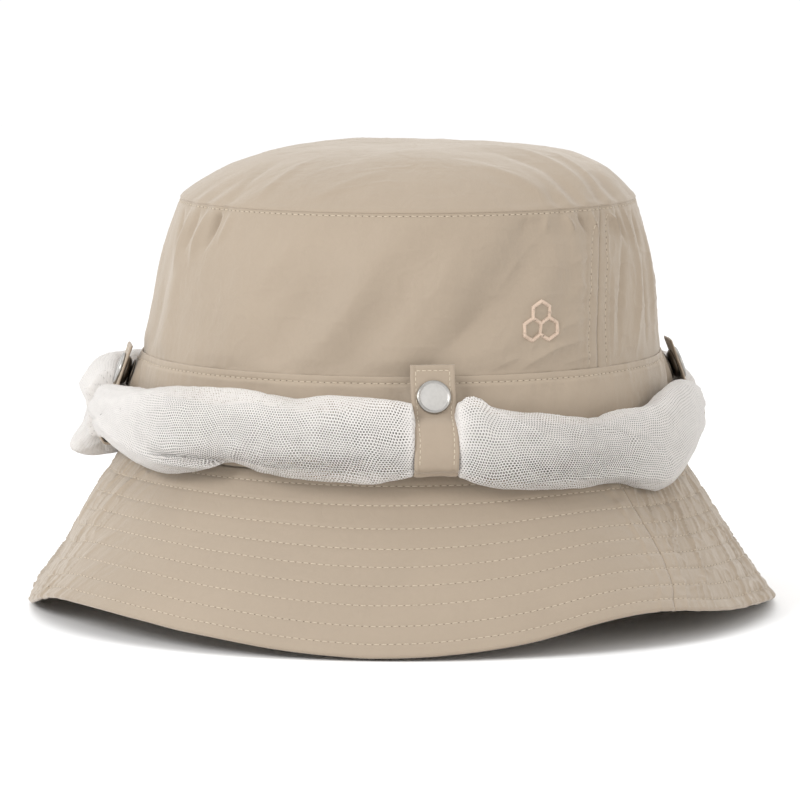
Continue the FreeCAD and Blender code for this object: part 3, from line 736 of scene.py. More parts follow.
# ------------------------------------------------------------------ crown top
TOP_FOLDS = [  # x, y, angle, half length, width, amplitude, in mm on the plan
    (-22, -46, 24, 40, 12, 0.8), (-40, -54, 30, 24, 8, -0.6), (12, -58, -12, 34, 6, 0.5), (40, -50, -42, 22, 4, -0.9), (48, -44, -46, 26, 3.4, 1.0),
    (57, -22, -66, 26, 5, -0.8), (30, -20, -20, 36, 11, 0.5), (-50, -20, 60, 30, 7, -0.6), (0, 10, 10, 40, 14, -0.6), (-30, 40, -30, 34, 9, 0.7),
    (35, 45, 35, 30, 8, -0.8), (0, 60, 0, 30, 7, 0.6), (60, 20, 80, 24, 6, 0.6), (-62, 15, 84, 22, 5, 0.6), (-10, -25, 50, 26, 10, -0.4),
    (28, -62, -28, 16, 2.6, 0.6), (55, -38, -52, 14, 2.0, 0.7), (-52, -48, 42, 16, 2.4, 0.8), (-60, -36, 52, 14, 2.2, -0.7), (-30, -64, 16, 16, 2.6, 0.5)]


def dome_power(U):
    return 4.4 + 0.35 * np.sin(np.radians(U))


def dome_h(f, U):
    return DOME_H * (1 - np.clip(f, 0, 1) ** dome_power(U))


def dome_disp(X, Y, f, U):
    d = 0
    for x0, y0, ang, L, w, amp in TOP_FOLDS:
        ca, sa = math.cos(math.radians(ang)), math.sin(math.radians(ang))
        s, t = (X - x0) * ca + (Y - y0) * sa, -(X - x0) * sa + (Y - y0) * ca
        x = np.abs(t / w)
        d = d + amp * np.exp(-np.abs(s / L) ** 3) * (0.6 * np.exp(-x * x) + 0.4 * np.exp(-1.7 * x))
    d = d + 0.32 * noise2(X / 22 + 9, Y / 22 + 9, 41) + 0.12 * noise2(X / 9 + 30, Y / 9 + 30, 42) + 0.04 * noise2(X / 3.5 + 60, Y / 3.5 + 60, 43)
    d = d + 0.18 * ridged(X / 11 + 20 + 0.5 * noise2(X / 14 + 40, Y / 14 + 40, 45), Y / 9 + 20, 44) + 0.08 * ridged(X / 5 + 50, Y / 5 + 50, 46) - 0.35
    drop = (1 - f) * R_TIP
    d = d * smooth(drop, 0, 7) * (1 - 0.45 * np.exp(-((np.abs(wrap180(U)) - 92) / 22) ** 2) * smooth(f, 0.5, 0.8)) - 0.75 * smooth(drop, 4, 24)
    return d + tip_gather(U, drop) * calm(U) + 0.15 * np.exp(-((drop - 0.6) / 0.9) ** 2)


n, m = 370, 130
u = np.linspace(-180, 180, n, endpoint=False)
f = (1 - np.linspace(0, 1, m) ** 1.5)[::-1]
f[0] = 0.004
U, F = np.meshgrid(u, f, indexing="ij")
dh = -DOME_H * dome_power(U) * F ** (dome_power(U) - 1) / R_TIP
nx, nz = -dh / np.hypot(dh, 1), 1 / np.hypot(dh, 1)
base = at_ring(R_TIP * F, U, Z_TIP + dome_h(F, U))
d = dome_disp(base[..., 0], base[..., 1], F, U)
tuck = np.where(F > 0.97, 0.25, 1.0)
outer = at_ring(R_TIP * F + nx * d, U, Z_TIP + dome_h(F, U) + nz * d)
inner = at_ring(np.maximum(R_TIP * F + nx * (d - T_CROWN), 0.2), U, Z_TIP + dome_h(F, U) + nz * (d - T_CROWN) * tuck)
# the top panel's edge rolls down over the side's edge, with no gap
edge_r = R_TIP + tip_gather(u, 0 * u + 0.25) * 0.9 * calm(u)
lip_o = [at_ring(edge_r + a_, u, Z_TIP + b_ + 0 * u)[:, None] for a_, b_ in ((0.14, -0.02), (0.19, -0.22), (0.14, -0.42), (-0.02, -0.55), (-0.3, -0.60))]
lip_i = [at_ring(edge_r + a_, u, Z_TIP + b_ + 0 * u)[:, None] for a_, b_ in ((-0.35, -0.06), (-0.38, -0.20), (-0.40, -0.32), (-0.42, -0.42), (-0.44, -0.50))]
outer, inner = np.concatenate([outer] + lip_o, 1), np.concatenate([inner] + lip_i, 1)
for g in (outer, inner):
    g[..., 0] += lean(g[..., 2])
uv = np.stack([base[..., 0], base[..., 1]], -1)
uv = np.concatenate([uv, np.repeat(uv[:, -1:], 5, 1)], 1)


def dome_object(name, outer, inner, mat, uv):
    n, m, _ = outer.shape
    verts = np.concatenate([outer.reshape(-1, 3), inner.reshape(-1, 3), outer[:, 0].mean(0)[None], inner[:, 0].mean(0)[None]])
    o = n * m
    faces = [grid_faces(n, m, True, flip=True), grid_faces(n, m, True, base=o)]
    i = np.arange(n)
    i2 = (i + 1) % n
    faces.append(np.stack([i * m + m - 1, i * m + m - 1 + o, i2 * m + m - 1 + o, i2 * m + m - 1], -1))
    quads = np.concatenate(faces).tolist()
    c0, c1 = 2 * o, 2 * o + 1
    tris = [[int(a), int(b), c0] for a, b in zip(i * m, i2 * m)] + [[int(b) + o, int(a) + o, c1] for a, b in zip(i * m, i2 * m)]
    u = np.concatenate([uv.reshape(-1, 2)] * 2 + [np.zeros((2, 2))])
    ob = new_object(name, verts, quads + tris, mat, uv=u)
    return ob


def outward(o):
    """Make a closed mesh's faces all look outwards."""
    import bmesh
    bm = bmesh.new()
    bm.from_mesh(o.data)
    bmesh.ops.recalc_face_normals(bm, faces=bm.faces)
    bm.to_mesh(o.data)
    bm.free()
    return o


o = outward(dome_object("crown_top", outer, inner, M_top, uv))
ride_on(o, "root", "crown_nylon", "crown_top_panel")


def ring_wall(name, us, rows_outer, rows_inner, mat, r_uv=92.0):
    """A closed ring of cloth from outer and inner rows of (radius array, height array), rows from bottom to top."""
    outer = np.stack([at_ring(r, us, z) for r, z in rows_outer], 1)
    inner = np.stack([at_ring(r, us, z) for r, z in rows_inner], 1)
    for g in (outer, inner):
        g[..., 0] += lean(g[..., 2])
    zz = np.stack([np.broadcast_to(z, us.shape) for r, z in rows_outer], 1)
    uu = np.broadcast_to(np.radians(us)[:, None] * r_uv, zz.shape)
    return outward(shell(name, outer, inner, mat, wrap_n=True, uv=np.stack([uu, zz], -1)))


us = np.linspace(-180, 180, 360, endpoint=False)
rows_o, rows_i = [], []
for z in np.linspace(Z_TIP - 6.6, Z_TIP - 0.9, 9):
    wv = 0.10 * noise1(us / 3.0, 61 + int(z), 120)
    rr = crown_r(z) - T_CROWN - 0.45 + crown_disp(us, z + 0 * us) * smooth(Z_TIP - z, 0, 3) + wv
    rows_o.append((rr, z + 0 * us))
    rows_i.append((rr - 0.45, z + 0 * us))
o = ring_wall("tip_seam_binding", us, rows_o, rows_i, M_tape, 80)
ride_on(o, "root", "binding_tape", "crown_top_seam_tape")


# ------------------------------------------------------------------ crown band
band_curve = curve_of([(50, 95.6), (Z_BAND_BOTTOM, 95.2), (70.0, 94.2), (80.0, 93.4), (84.0, 92.7), (87.0, 92.0), (Z_BAND_TOP, 91.25), (95, 90.8)])


def band_disp(U, Z):
    d = 0.26 * noise2(U / 360 * 60, Z / 14, 51, 60) + 0.12 * noise2(U / 360 * 170, Z / 6, 52, 170) + 0.10 * ridged(U / 360 * 110, Z / 5, 54, 110)
    top = Z_BAND_TOP - Z
    d = d * smooth(top, 0.3, 5)
    # fold at the top edge, stitched below
    g = noise2(U / 360 * 190, 0.7 + 0 * Z, 53, 190)
    d = d + (0.14 + 0.08 * g) * np.exp(-((top - 0.5) / 0.7) ** 2) - 0.34 * np.exp(-((top - 2.3) / 0.5) ** 2) + 0.10 * np.exp(-((top - 3.6) / 1.0) ** 2)
    d = d + (0.22 + 0.25 * smooth(wrap180(U), 15, 40)) * g * np.exp(-np.abs(top - 3.0) / 3.0)
    q = np.radians(wrap180(U - 223.0)) * 93.0
    d = d + (-0.5 * np.exp(-(np.abs(q) / 0.5) ** 2) + 0.22 * smooth(np.abs(q), 6.9, 5.7)) * smooth(top, 0.0, 1.0)
    # pulled out to the stud's seat at each strap
    for _, az in STRAPS:
        y = np.radians(wrap180(U - az)) * 93.5
        t = (SNAP_Z - Z) / math.cos(TILT)
        seat = SNAP_RHO + t * math.sin(TILT)
        w = smooth(np.hypot(y, t - SNAP_DROP), 11.0, 5.0)
        d = d * (1 - w) + np.maximum(seat - 0.05 - band_curve(Z), 0.0) * w
    return d


us = np.linspace(-180, 180, 900, endpoint=False)
zs = np.concatenate([np.linspace(Z_BAND_BOTTOM, 84.0, 34), np.linspace(84.4, Z_BAND_TOP - 0.25, 18)])
rows_o, rows_i = [], []
for z in zs:
    dd = band_disp(us, z + 0 * us)
    rows_o.append((band_curve(z) + dd, z + 0 * us))
    rows_i.append((band_curve(z) + np.minimum(dd, 0.3) - 0.62, z + 0 * us))
r_, d_ = band_curve(Z_BAND_TOP - 0.25), band_disp(us, zs[-1] + 0 * us)
rows_o += [(r_ + d_ - 0.10, Z_BAND_TOP - 0.08 + 0 * us), (r_ + d_ - 0.26, Z_BAND_TOP + 0 * us)]
rows_i += [(r_ + d_ - 0.50, Z_BAND_TOP - 0.08 + 0 * us), (r_ + d_ - 0.40, Z_BAND_TOP - 0.01 + 0 * us)]
o = ring_wall("crown_band_cloth", us, rows_o, rows_i, M_band_painted_light, 94)
ride_on(o, "root", "crown_nylon", "crown_band_front", "crown_band_back")

# ------------------------------------------------------------------ sweatband inside
sweat_curve = curve_of([(58.6, 93.8), (87.0, 88.5)])
us = np.linspace(-180, 180, 620, endpoint=False)
rows_o, rows_i = [], []
for z in np.linspace(58.7, 86.6, 34):
    e = smooth(86.9 - z, 0, 0.9) * 0.5 + 0.5
    nz_ = 0.22 * noise2(us / 360 * 120, z / 6 + 0 * us, 55, 120) + 0.10 * noise2(us / 360 * 400, z / 1.4 + 0 * us, 56, 400) - 0.25 * math.exp(-((z - 84.6) / 0.5) ** 2)
    rows_o.append((sweat_curve(z) - 0.05 - 0.3 * (1 - e) + 0 * us, z + 0 * us))
    rows_i.append((sweat_curve(z) - 0.05 - 0.95 * e - nz_ * e, z + 0 * us))
o = ring_wall("sweatband_cloth", us, rows_o, rows_i, M_sweat, 92)
ride_on(o, "root", "sweatband_towelling", "sweatband")

# ------------------------------------------------------------------ brim
ROWS = np.array([0.065, 0.171, 0.297, 0.4075, 0.506, 0.609, 0.716, 0.829, 0.9265])
LAYER, GAP = 0.5, 0.15


def brim_base(U, S):
    """Radius and height of the brim's top face, the normal that points in under it, and the slope's length."""
    ze = wave(U)
    ex, ez = R_BRIM_EDGE + EDGE_FLARE * ze, ze + EDGE_DROP
    dx, dz = ex - R_BRIM_SEAM, ez - Z_BRIM_SEAM
    l = np.hypot(dx, dz)
    nx, nz = dz / l, -dx / l
    sag = 0.9 * np.sin(math.pi * S) * (1 - 0.3 * S)
    return R_BRIM_SEAM + dx * S + nx * sag, Z_BRIM_SEAM + dz * S + nz * sag, nx, nz, l


def brim_at(U, S, depth):
    r, z, nx, nz, _ = brim_base(U, S)
    P = at_ring(r + nx * depth, U, z + nz * depth)
    P[..., 0] += lean(P[..., 2])
    return P


def side_weight(U):
    """How strongly the stitched brim puckers: little in front, much at both sides."""
    w = wrap180(U)
    left = smooth(-w, 50, 78) * smooth(w, -140, -112)
    right = smooth(w, 36, 50) * smooth(-w, -140, -112)
    back = 0.45 * smooth(np.abs(w), 118, 140)
    return 0.10 + 0.90 * np.clip(left + right + back, 0, 1)


def brim_disp(U, S, seed=0):
    """Puckers between the stitch rows, grooves at the rows, and the pressed seams, outwards in mm."""
    A = side_weight(U)
    edges = np.concatenate([[-0.06], ROWS, [1.06]])
    quiet = 1 - 0.55 * np.exp(-((np.abs(wrap180(U)) - 90) / 10) ** 2)
    L = 66.0
    d = 0
    for j in range(len(edges) - 1):
        t = (S - edges[j]) / (edges[j + 1] - edges[j])
        inside = (t >= 0) & (t < 1)
        tt = np.clip(t, 0, 1)
        env = np.sin(math.pi * tt) ** 0.7
        # each row's puckers lean a little and differ from the next row's
        ln = (2.2 + 1.2 * noise1(U / 9.0 + 17 * j, 60 + j + seed)) * (tt - 0.5)
        p = noise1((U + ln) / 360 * 300, 70 + j + seed, 300) * 0.7 + noise1((U + ln) / 360 * 170, 90 + j + seed, 170) * 0.6
        p = p + 0.35 * noise1((U + ln) / 360 * 520, 110 + j + seed, 520)
        d = d + np.where(inside, env * (0.08 + 0.27 * p) * A * quiet + env * 0.06, 0)
    # crisp creases that run down over several rows, slanting
    r1 = ridged(U / 360 * 104 + S * 4.0, S * 3.0 + 5, 130 + seed, 104, 3.2)
    r2 = ridged(U / 360 * 190 + S * 6.0, S * 4.6 + 9, 132 + seed, 190, 3.2)
    d = d + quiet * (1.05 * r1 + 0.55 * r2 - 0.26) * smooth(A, 0.25, 0.95) * (0.45 + 0.55 * smooth(S, 0.0, 0.15))
    d = d + 0.35 * noise2(U / 360 * 110 + S * 3.0, S * 2.6, 134 + seed, 110) * A
    d = d + 0.10 * noise2(U / 360 * 60, S * 4, 131 + seed, 60)
    for k, s in enumerate(ROWS):
        d = d - (0.22 + 0.12 * A * quiet) * np.exp(-(((S - s) * L) / 0.55) ** 2)
    # pressed-open seam of the two halves
    rr = R_BRIM_SEAM + (R_BRIM_EDGE - R_BRIM_SEAM) * S
    for s in brim_seams(S):
        q = np.radians(wrap180(U - s)) * rr
        aq = np.abs(q)
        d = d - 0.36 * np.exp(-(aq / 0.6) ** 2) + 0.32 * smooth(aq, 7.3, 6.4) + 0.14 * np.exp(-((aq - 6.6) / 0.8) ** 2)
        # small pulls where the rows cross the turnings
        d = d + 0.25 * noise2(q / 3.0 + 40, S * 22, 140) * np.exp(-((aq - 7) / 6) ** 2)
    belly = 2.0 * np.exp(-((wrap180(U) + 88) / 22) ** 2) * np.sin(math.pi * np.clip(S / 0.66, 0, 1)) * (seed == 0)
    return np.clip(d, -0.42, 1.05) + belly


def edge_curl(U, S):
    """The edge turns out a little at both sides."""
    w = wrap180(U)
    side = np.exp(-((np.abs(w) - 92) / 26) ** 2)
    return 0.7 * side * np.clip((S - 0.86) / 0.14, 0, 1) ** 2


brim_T = 2 * (LAYER + GAP) + LAYER


def brim_half(name, first, nodes_top, nodes_under):
    def span(S):
        sa_, sb_ = brim_seams(S)
        return (sb_ - 360, sa_) if first else (sa_, sb_)
    n = 640
    s = np.concatenate([np.linspace(0, 0.93, 112), np.linspace(0.937, 0.984, 7)])
    tau, S = np.meshgrid(np.linspace(0, 1, n), s, indexing="ij")
    lo, hi = span(S)
    U = lo + 0.006 + (hi - lo - 0.012) * tau
    d = brim_disp(U, S) + edge_curl(U, S)
    # down the top face, round the edge, and 3 mm back up the underside
    outer = [brim_at(U, S, -d)]
    inner = [brim_at(U, S, -d + 0.34)]
    u = U[:, -1]
    rr = brim_T / 2
    r, z, nx, nz, l = brim_base(u, np.full(n, 0.984))
    tx, tz = -nz, nx
    flip = np.where(tx < 0, -1.0, 1.0)
    tx, tz = tx * flip, tz * flip
    curl = d[:, -1]
    for a_ in np.radians(np.array([18, 40, 62, 90, 118, 140, 162])):
        for lst, rad in ((outer, rr), (inner, rr - 0.34)):
            dep = rr - rad * math.cos(a_) - curl
            out = rad * math.sin(a_)
            P = at_ring(r + nx * dep + tx * out, u, z + nz * dep + tz * out)
            P[..., 0] += lean(P[..., 2])
            lst.append(P[:, None])
    for back in (0.4, 1.6, 2.9):
        sb = np.full(n, 0.984) - back / l
        rb, zb, nxb, nzb, _ = brim_base(u, sb)
        cb = edge_curl(u, sb)
        for lst, k in ((outer, 0.0), (inner, 0.34)):
            P = at_ring(rb + nxb * (brim_T - cb - k), u, zb + nzb * (brim_T - cb - k))
            P[..., 0] += lean(P[..., 2])
            lst.append(P[:, None])
    outer, inner = np.concatenate(outer, 1), np.concatenate(inner, 1)
    vv = np.concatenate([s * 66.5, 66 + np.linspace(0.4, 3.0, 7), 69.4 + np.array([0.4, 1.6, 2.9])])
    VV = np.broadcast_to(vv, (n, len(vv)))
    UU = np.concatenate([U, np.repeat(U[:, -1:], 10, 1)], 1)
    top = outward(shell("brim_top_%s_cloth" % name, outer, inner, M_brim, uv=np.stack([np.radians(UU) * 113.0, VV], -1)))
    ride_on(top, "root", "crown_nylon", *nodes_top)
    # the underside, up to the turned edge
    n2 = 520
    tau, S2 = np.meshgrid(np.linspace(0, 1, n2), np.linspace(0, 0.936, 76), indexing="ij")
    lo, hi = span(S2)
    U2 = lo + 0.006 + (hi - lo - 0.012) * tau
    d2 = brim_disp(U2, S2, seed=500) * 0.7
    c2 = edge_curl(U2, S2)
    low = brim_at(U2, S2, brim_T + np.clip(d2, -0.25, 0.6) - c2)
    high = brim_at(U2, S2, brim_T - 0.40 + np.clip(d2, -0.05, 0.6) - c2)
    under = outward(shell("brim_under_%s_cloth" % name, high, low, M_under, uv=np.stack([np.radians(U2) * 113.0, S2 * 66.5], -1)))
    ride_on(under, "root", "brim_lining", *nodes_under)


brim_half("front", True, ["brim_top_front"], ["brim_under_front"])
brim_half("back", False, ["brim_top_back"], ["brim_under_back"])


# ------------------------------------------------------------------ sewing threads on the shell
def row_on(fn, pos, us, e2):
    """Points and outward normals of a line on a surface fn(U, V) -> points."""
    P = fn(us, pos + 0 * us)
    nrm = np.cross(fn(us + 0.1, pos + 0 * us) - P, fn(us, pos + e2 + 0 * us) - P)
    nrm /= np.linalg.norm(nrm, axis=1, keepdims=True)
    nrm[(nrm * at_ring(1, us, 0)).sum(1) < 0] *= -1
    return P, nrm


u_all = np.linspace(-180, 180, 3000, endpoint=False)
th, holes = Threads(), Threads()
for k, s in enumerate(ROWS):
    P, Nn = row_on(lambda U, S: brim_at(U, S, -(brim_disp(U, S) + edge_curl(U, S))), s, u_all, 0.004)
    stitch_row(th, P, Nn, pitch=2.45, seed=200 + k, lift=0.06, radius=0.165, holes=holes)
ride_on(th.build("stitching_brim_top", M_thread), "root", "crown_nylon")
ride_on(holes.build("needle_hole_painted_shade_brim", M_hole_shadow), "root", "crown_nylon")

th = Threads()
for k, s in enumerate(ROWS[:-1]):
    P, Nn = row_on(lambda U, S: brim_at(U, S, brim_T + np.clip(brim_disp(U, S, 500) * 0.7, -0.25, 0.6) - edge_curl(U, S)), s, u_all[::2], 0.004)
    stitch_row(th, P, -Nn, pitch=2.45, seed=230 + k, lift=0.05, radius=0.165)
ride_on(th.build("stitching_brim_under", M_thread), "root", "brim_lining")

th, holes = Threads(), Threads()
crown_fn = lambda U, Z: crown_point(U, Z, crown_disp(U, Z))
P, Nn = row_on(crown_fn, Z_TIP - 1.45, u_all, 0.1)
stitch_row(th, P, Nn, pitch=2.3, seed=260, lift=0.07, radius=0.165, holes=holes)
band_fn = lambda U, Z: at_ring(band_curve(Z) + band_disp(U, Z), U, Z) + np.array([0.2, 0, 0])
P, Nn = row_on(band_fn, Z_BAND_TOP - 2.3, u_all, 0.2)
stitch_row(th, P, Nn, pitch=2.3, seed=261, lift=0.08, radius=0.175, holes=holes)
for k in (0, 1):
    for side in (-1, 1):
        z = np.linspace(90.4, Z_TIP - 3.0, 500)
        us = crown_seams(z)[k] + side * np.degrees(4.3 / 88.0)
        P = crown_fn(us, z)
        Nn = np.cross(crown_fn(us + 0.1, z) - P, crown_fn(us, z + 0.1) - P)
        Nn /= np.linalg.norm(Nn, axis=1, keepdims=True)
        stitch_row(th, P, Nn, pitch=2.3, seed=270 + 3 * k + side, lift=0.07, radius=0.165, closed=False, holes=holes)
ride_on(th.build("stitching_crown", M_thread), "root", "crown_nylon")
ride_on(holes.build("needle_hole_painted_shade_crown", M_hole_shadow), "root", "crown_nylon")

# sweatband's top row of overlock stitches
th = Threads()
us = np.linspace(-180, 180, 1200, endpoint=False)
P = at_ring(sweat_curve(84.6) - 0.75 + 0 * us, us, 84.6 + 0 * us) + np.array([0.2, 0, 0])
stitch_row(th, P, -at_ring(1, us, 0), pitch=3.0, seed=281, lift=0.15, radius=0.17)
ride_on(th.build("stitching_sweatband", M_thread_light), "root", "sweatband_towelling")


# ------------------------------------------------------------------ straps, one continuous strip each from the sewn root to the tail
def strap_frame(az):
    """Functions that turn (rho, width, z) in a strap's plane into row coordinates."""
    p = math.radians(az)
    c, s = math.sin(p), -math.cos(p)
    out = np.array([c, s, 0.0])
    side = np.array([-s, c, 0.0])

    def to(rho, w, z):
        rho, w, z = np.broadcast_arrays(np.asarray(rho, float), np.asarray(w, float), np.asarray(z, float))
        return rho[..., None] * out + w[..., None] * side + z[..., None] * np.array([0, 0, 1.0])
    return to, out, side


def at_snap(shift, h, down):
    return (SNAP_RHO + shift + h * SN[0] + down * ST[0], SNAP_Z + h * SN[1] + down * ST[1])


def resample(pts, n):
    """n points evenly along a smooth curve through pts (Catmull-Rom)."""
    p = np.asarray(pts, float)
    q = np.vstack([2 * p[0] - p[1], p, 2 * p[-1] - p[-2]])
    out = []
    for i in range(1, len(q) - 2):
        for t in np.linspace(0, 1, 24, endpoint=False):
            out.append(0.5 * (2 * q[i] + (-q[i - 1] + q[i + 1]) * t + (2 * q[i - 1] - 5 * q[i] + 4 * q[i + 1] - q[i + 2]) * t**2
                              + (-q[i - 1] + 3 * q[i] - 3 * q[i + 1] + q[i + 2]) * t**3))
    out.append(p[-1])
    out = np.array(out)
    s = np.concatenate([[0], np.cumsum(np.linalg.norm(np.diff(out, axis=0), axis=1))])
    g = np.linspace(0, s[-1], n)
    return np.stack([np.interp(g, s, out[:, k]) for k in range(out.shape[1])], -1), s[-1]


def welded(o, dist=1e-6):
    import bmesh
    bm = bmesh.new()
    bm.from_mesh(o.data)
    bmesh.ops.remove_doubles(bm, verts=bm.verts, dist=dist)
    bmesh.ops.dissolve_degenerate(bm, dist=dist, edges=bm.edges)
    bmesh.ops.recalc_face_normals(bm, faces=bm.faces)
    bm.to_mesh(o.data)
    bm.free()
    o.data.polygons.foreach_set("use_smooth", [True] * len(o.data.polygons))
    return o


def lathe(name, profile, mats, place, seg=72, face_mats=None, ring=False):
    """A solid of revolution from an outline of (radius, height) points; place maps (x, y, h) arrays to row coordinates."""
    prof = np.asarray(profile, float)
    ang = np.arange(seg) * TAU / seg
    R, A_ = np.meshgrid(prof[:, 0], ang, indexing="xy")
    H = np.broadcast_to(prof[:, 1], R.shape)
    P = place(R * np.cos(A_), R * np.sin(A_), H)
    m = len(prof)
    faces = grid_faces(seg, m, True, ring)
    fm = np.tile(np.asarray(face_mats), seg) if face_mats is not None else None
    return welded(new_object(name, P.reshape(-1, 3), faces, mats, face_mats=fm))


STRAP_W, STRAP_T = 15.0, 1.0
for name, az in STRAPS:
    body = "strap_" + name
    along_y = abs(math.cos(math.radians(az)))
    shift = (K - 1) * 93.1 * along_y
    to, out_v, side_v = strap_frame(az)
    H = at_snap(shift, 1.8, 27.5)
    mid = 3.1 + STRAP_T / 2
    tail = 9.7 if along_y > 0.5 else 8.0
    s_ = shift
    b0, b1, b2, b3 = (108.1, 108.75, 108.7, 107.25) if along_y > 0.5 else (106.3, 106.8, 107.0, 106.3)
    line = [(95.9 + (K - 1) * 95.2 * along_y, 57.9), (99.0 + s_, 57.62), (H[0] - 2.4, H[1] - 0.35), (H[0] - 0.7, H[1] - 0.1), (H[0] + 0.1, H[1] + 0.9), (b0 + s_, 60.5),
            (b1 + s_, 62.6), (b2 + s_, 66.0), (b3 + s_, 70.8), (104.5 + s_, 74.6), at_snap(shift, mid, 8.2),
            at_snap(shift, mid, 4.8), at_snap(shift, mid, 1), at_snap(shift, mid, -4.5), at_snap(shift, mid, -tail)]
    NS = 170
    C, length = resample(line, NS)
    T2 = np.gradient(C, axis=0)
    T2 /= np.linalg.norm(T2, axis=1, keepdims=True)
    O2 = np.stack([T2[:, 1], -T2[:, 0]], -1)      # outward side: right of the way up
    half = STRAP_W / 2
    ws = half * np.sin(np.linspace(-math.pi / 2, math.pi / 2, 41))
    edge = np.clip(1 - (np.abs(ws) / half) ** 12, 0, 1) ** 0.5
    sarc = np.linspace(0, length, NS)
    Wg, Sg = np.meshgrid(ws, sarc, indexing="xy")
    snap_s = length - tail - SNAP_DROP
    lumps = 0.20 * noise2(Sg / 7 + 5, Wg / 6 + 5, 300 + int(az)) + 0.08 * noise2(Sg / 2.2, Wg / 2.5 + 9, 301 + int(az))
    clamp = smooth(np.hypot(Sg - snap_s, Wg), 6.0, 8.0)
    groove = -0.17 * (np.exp(-((np.abs(Wg) - (half - 1.8)) / 0.42) ** 2) * smooth(Sg, 9, 11)) - 0.17 * np.exp(-((Sg - (length - 2.0)) / 0.42) ** 2) * (np.abs(Wg) < half - 1.6)
    rim = 0.10 * np.exp(-((np.abs(Wg) - (half - 0.8)) / 0.6) ** 2) + 0.10 * np.exp(-((Sg - (length - 0.9)) / 0.6) ** 2)
    th_out = (STRAP_T / 2 + lumps * clamp + groove + rim) * edge[None, :]
    th_in = (STRAP_T / 2 - lumps * clamp * 0.4) * edge[None, :]
    endt = np.clip(1 - ((np.abs(sarc - length / 2) / (length / 2)) ** 90), 0, 1) ** 0.5
    th_out *= endt[:, None]
    th_in *= endt[:, None]
    # the cut edges are not quite straight, and the long edges bow very slightly
    wob = 0.12 * noise1(sarc / 5.0, 330 + int(az))[:, None]
    Wv = Wg + wob + 0.0 * Sg
    Cx, Cz, Ox, Oz = C[:, 0:1], C[:, 1:2], O2[:, 0:1], O2[:, 1:2]
    # a soft belly across the width where it bends round the roll
    belly = 0.35 * (1 - (Wg / half) ** 2) * np.exp(-((Sg - 26) / 9) ** 2)
    outer = to(Cx + Ox * (th_out + belly), Wv, Cz + Oz * (th_out + belly))
    inner = to(Cx - Ox * (th_in - belly), Wv, Cz - Oz * (th_in - belly))
    o = shell("strap_%s_cloth" % name, outer, inner, M_strap, uv=np.stack([Wg, Sg], -1))
    welded(o, 2e-6)
    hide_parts("strap_root_" + name, "strap_flap_" + name)
    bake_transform(o)
    # strap stitching: both long edges and across the tail
    th = Threads()
    i0, i1 = np.argmin(np.abs(sarc - 14.5)), np.argmin(np.abs(sarc - (length - 2.0)))
    j0, j1 = np.argmin(np.abs(ws + (half - 1.8))), np.argmin(np.abs(ws - (half - 1.8)))
    nrm = O2[:, 0:1] * out_v[None, :] + O2[:, 1:2] * np.array([[0, 0, 1.0]])
    for j in (j0, j1):
        stitch_row(th, outer[i0:i1 + 1, j], nrm[i0:i1 + 1], pitch=1.95, seed=310 + j + int(az), lift=0.08, radius=0.16, closed=False)
    seg = outer[i1, j0:j1 + 1]
    stitch_row(th, seg, np.repeat(nrm[i1:i1 + 1], len(seg), 0), pitch=1.95, seed=320 + int(az), lift=0.08, radius=0.16, closed=False)
    ride_on(th.build("stitching_strap_" + name, M_thread_light), body, "strap_nylon")

    # snap: cap, socket, spring on the flap; stud and post on the band
    def place(x, y, h, shift=shift, to=to):
        # local x runs down the strap, y across it, h out along the snap
        x = x + SNAP_DROP
        return to(SNAP_RHO + shift + h * SN[0] + x * ST[0], y, SNAP_Z + h * SN[1] + x * ST[1])
    R = 5.75
    prof = [(0, 3.7), (1.2, 3.7), (1.2, 4.10), (R - 0.45, 4.10), (R - 0.15, 4.17), (R - 0.02, 4.36), (R, 4.62), (R - 0.07, 4.88), (R - 0.22, 5.10), (R - 0.42, 5.23),
            (R - 0.64, 5.25), (R - 0.84, 5.16), (R - 0.98, 5.00), (R - 1.10, 4.90), (R - 1.30, 4.90), (R - 1.8, 4.98), (R - 2.6, 5.10), (R - 3.6, 5.20), (R - 4.7, 5.26), (0.4, 5.29), (0, 5.29)]
    fm = [0] * (len(prof) - 1)
    for i in range(13, len(prof) - 1):
        fm[i] = 1
    ride_on(lathe("snap_cap_%s_metal" % name, prof, [M_cap, M_cap_face], place, 96, fm), body, "snap_cap_metal", "snap_cap_" + name)
    prof = [(2.4, 1.12), (2.62, 1.05), (3.1, 1.05), (3.45, 1.15), (4.1, 1.28), (4.35, 1.42), (5.0, 2.1), (5.2, 2.25), (5.3, 2.5), (5.3, 2.85), (5.18, 3.05), (5.0, 3.1), (1.35, 3.1),
            (1.35, 2.85), (2.4, 2.85), (2.4, 2.15), (2.95, 2.1), (2.95, 1.5), (2.4, 1.45)]
    ride_on(lathe("snap_socket_%s_metal" % name, prof, M_dark, place, 72, ring=True), body, "snap_dark_metal", "snap_socket_" + name)
    c_ = np.arange(12) * TAU / 12
    prof = np.stack([2.62 + 0.26 * np.cos(c_), 1.80 + 0.26 * np.sin(c_)], -1)
    ride_on(lathe("snap_spring_%s_wire" % name, prof, M_wire, place, 60, ring=True), body, "spring_wire", "snap_ring_spring_" + name)
    prof = [(0, 0.05), (4.55, 0.05), (4.75, 0.12), (4.8, 0.3), (4.72, 0.55), (4.5, 0.68), (2.5, 0.74), (2.0, 0.86), (1.82, 1.1), (1.82, 1.45), (2.05, 1.66), (2.15, 1.9), (2.15, 2.15), (2.0, 2.4),
            (1.75, 2.58), (1.3, 2.66), (0.9, 2.62), (0, 2.6)]
    stud = lathe("snap_stud_%s_metal" % name, prof, M_dark, place, 72)
    ride_on(stud, "root", "snap_dark_metal")
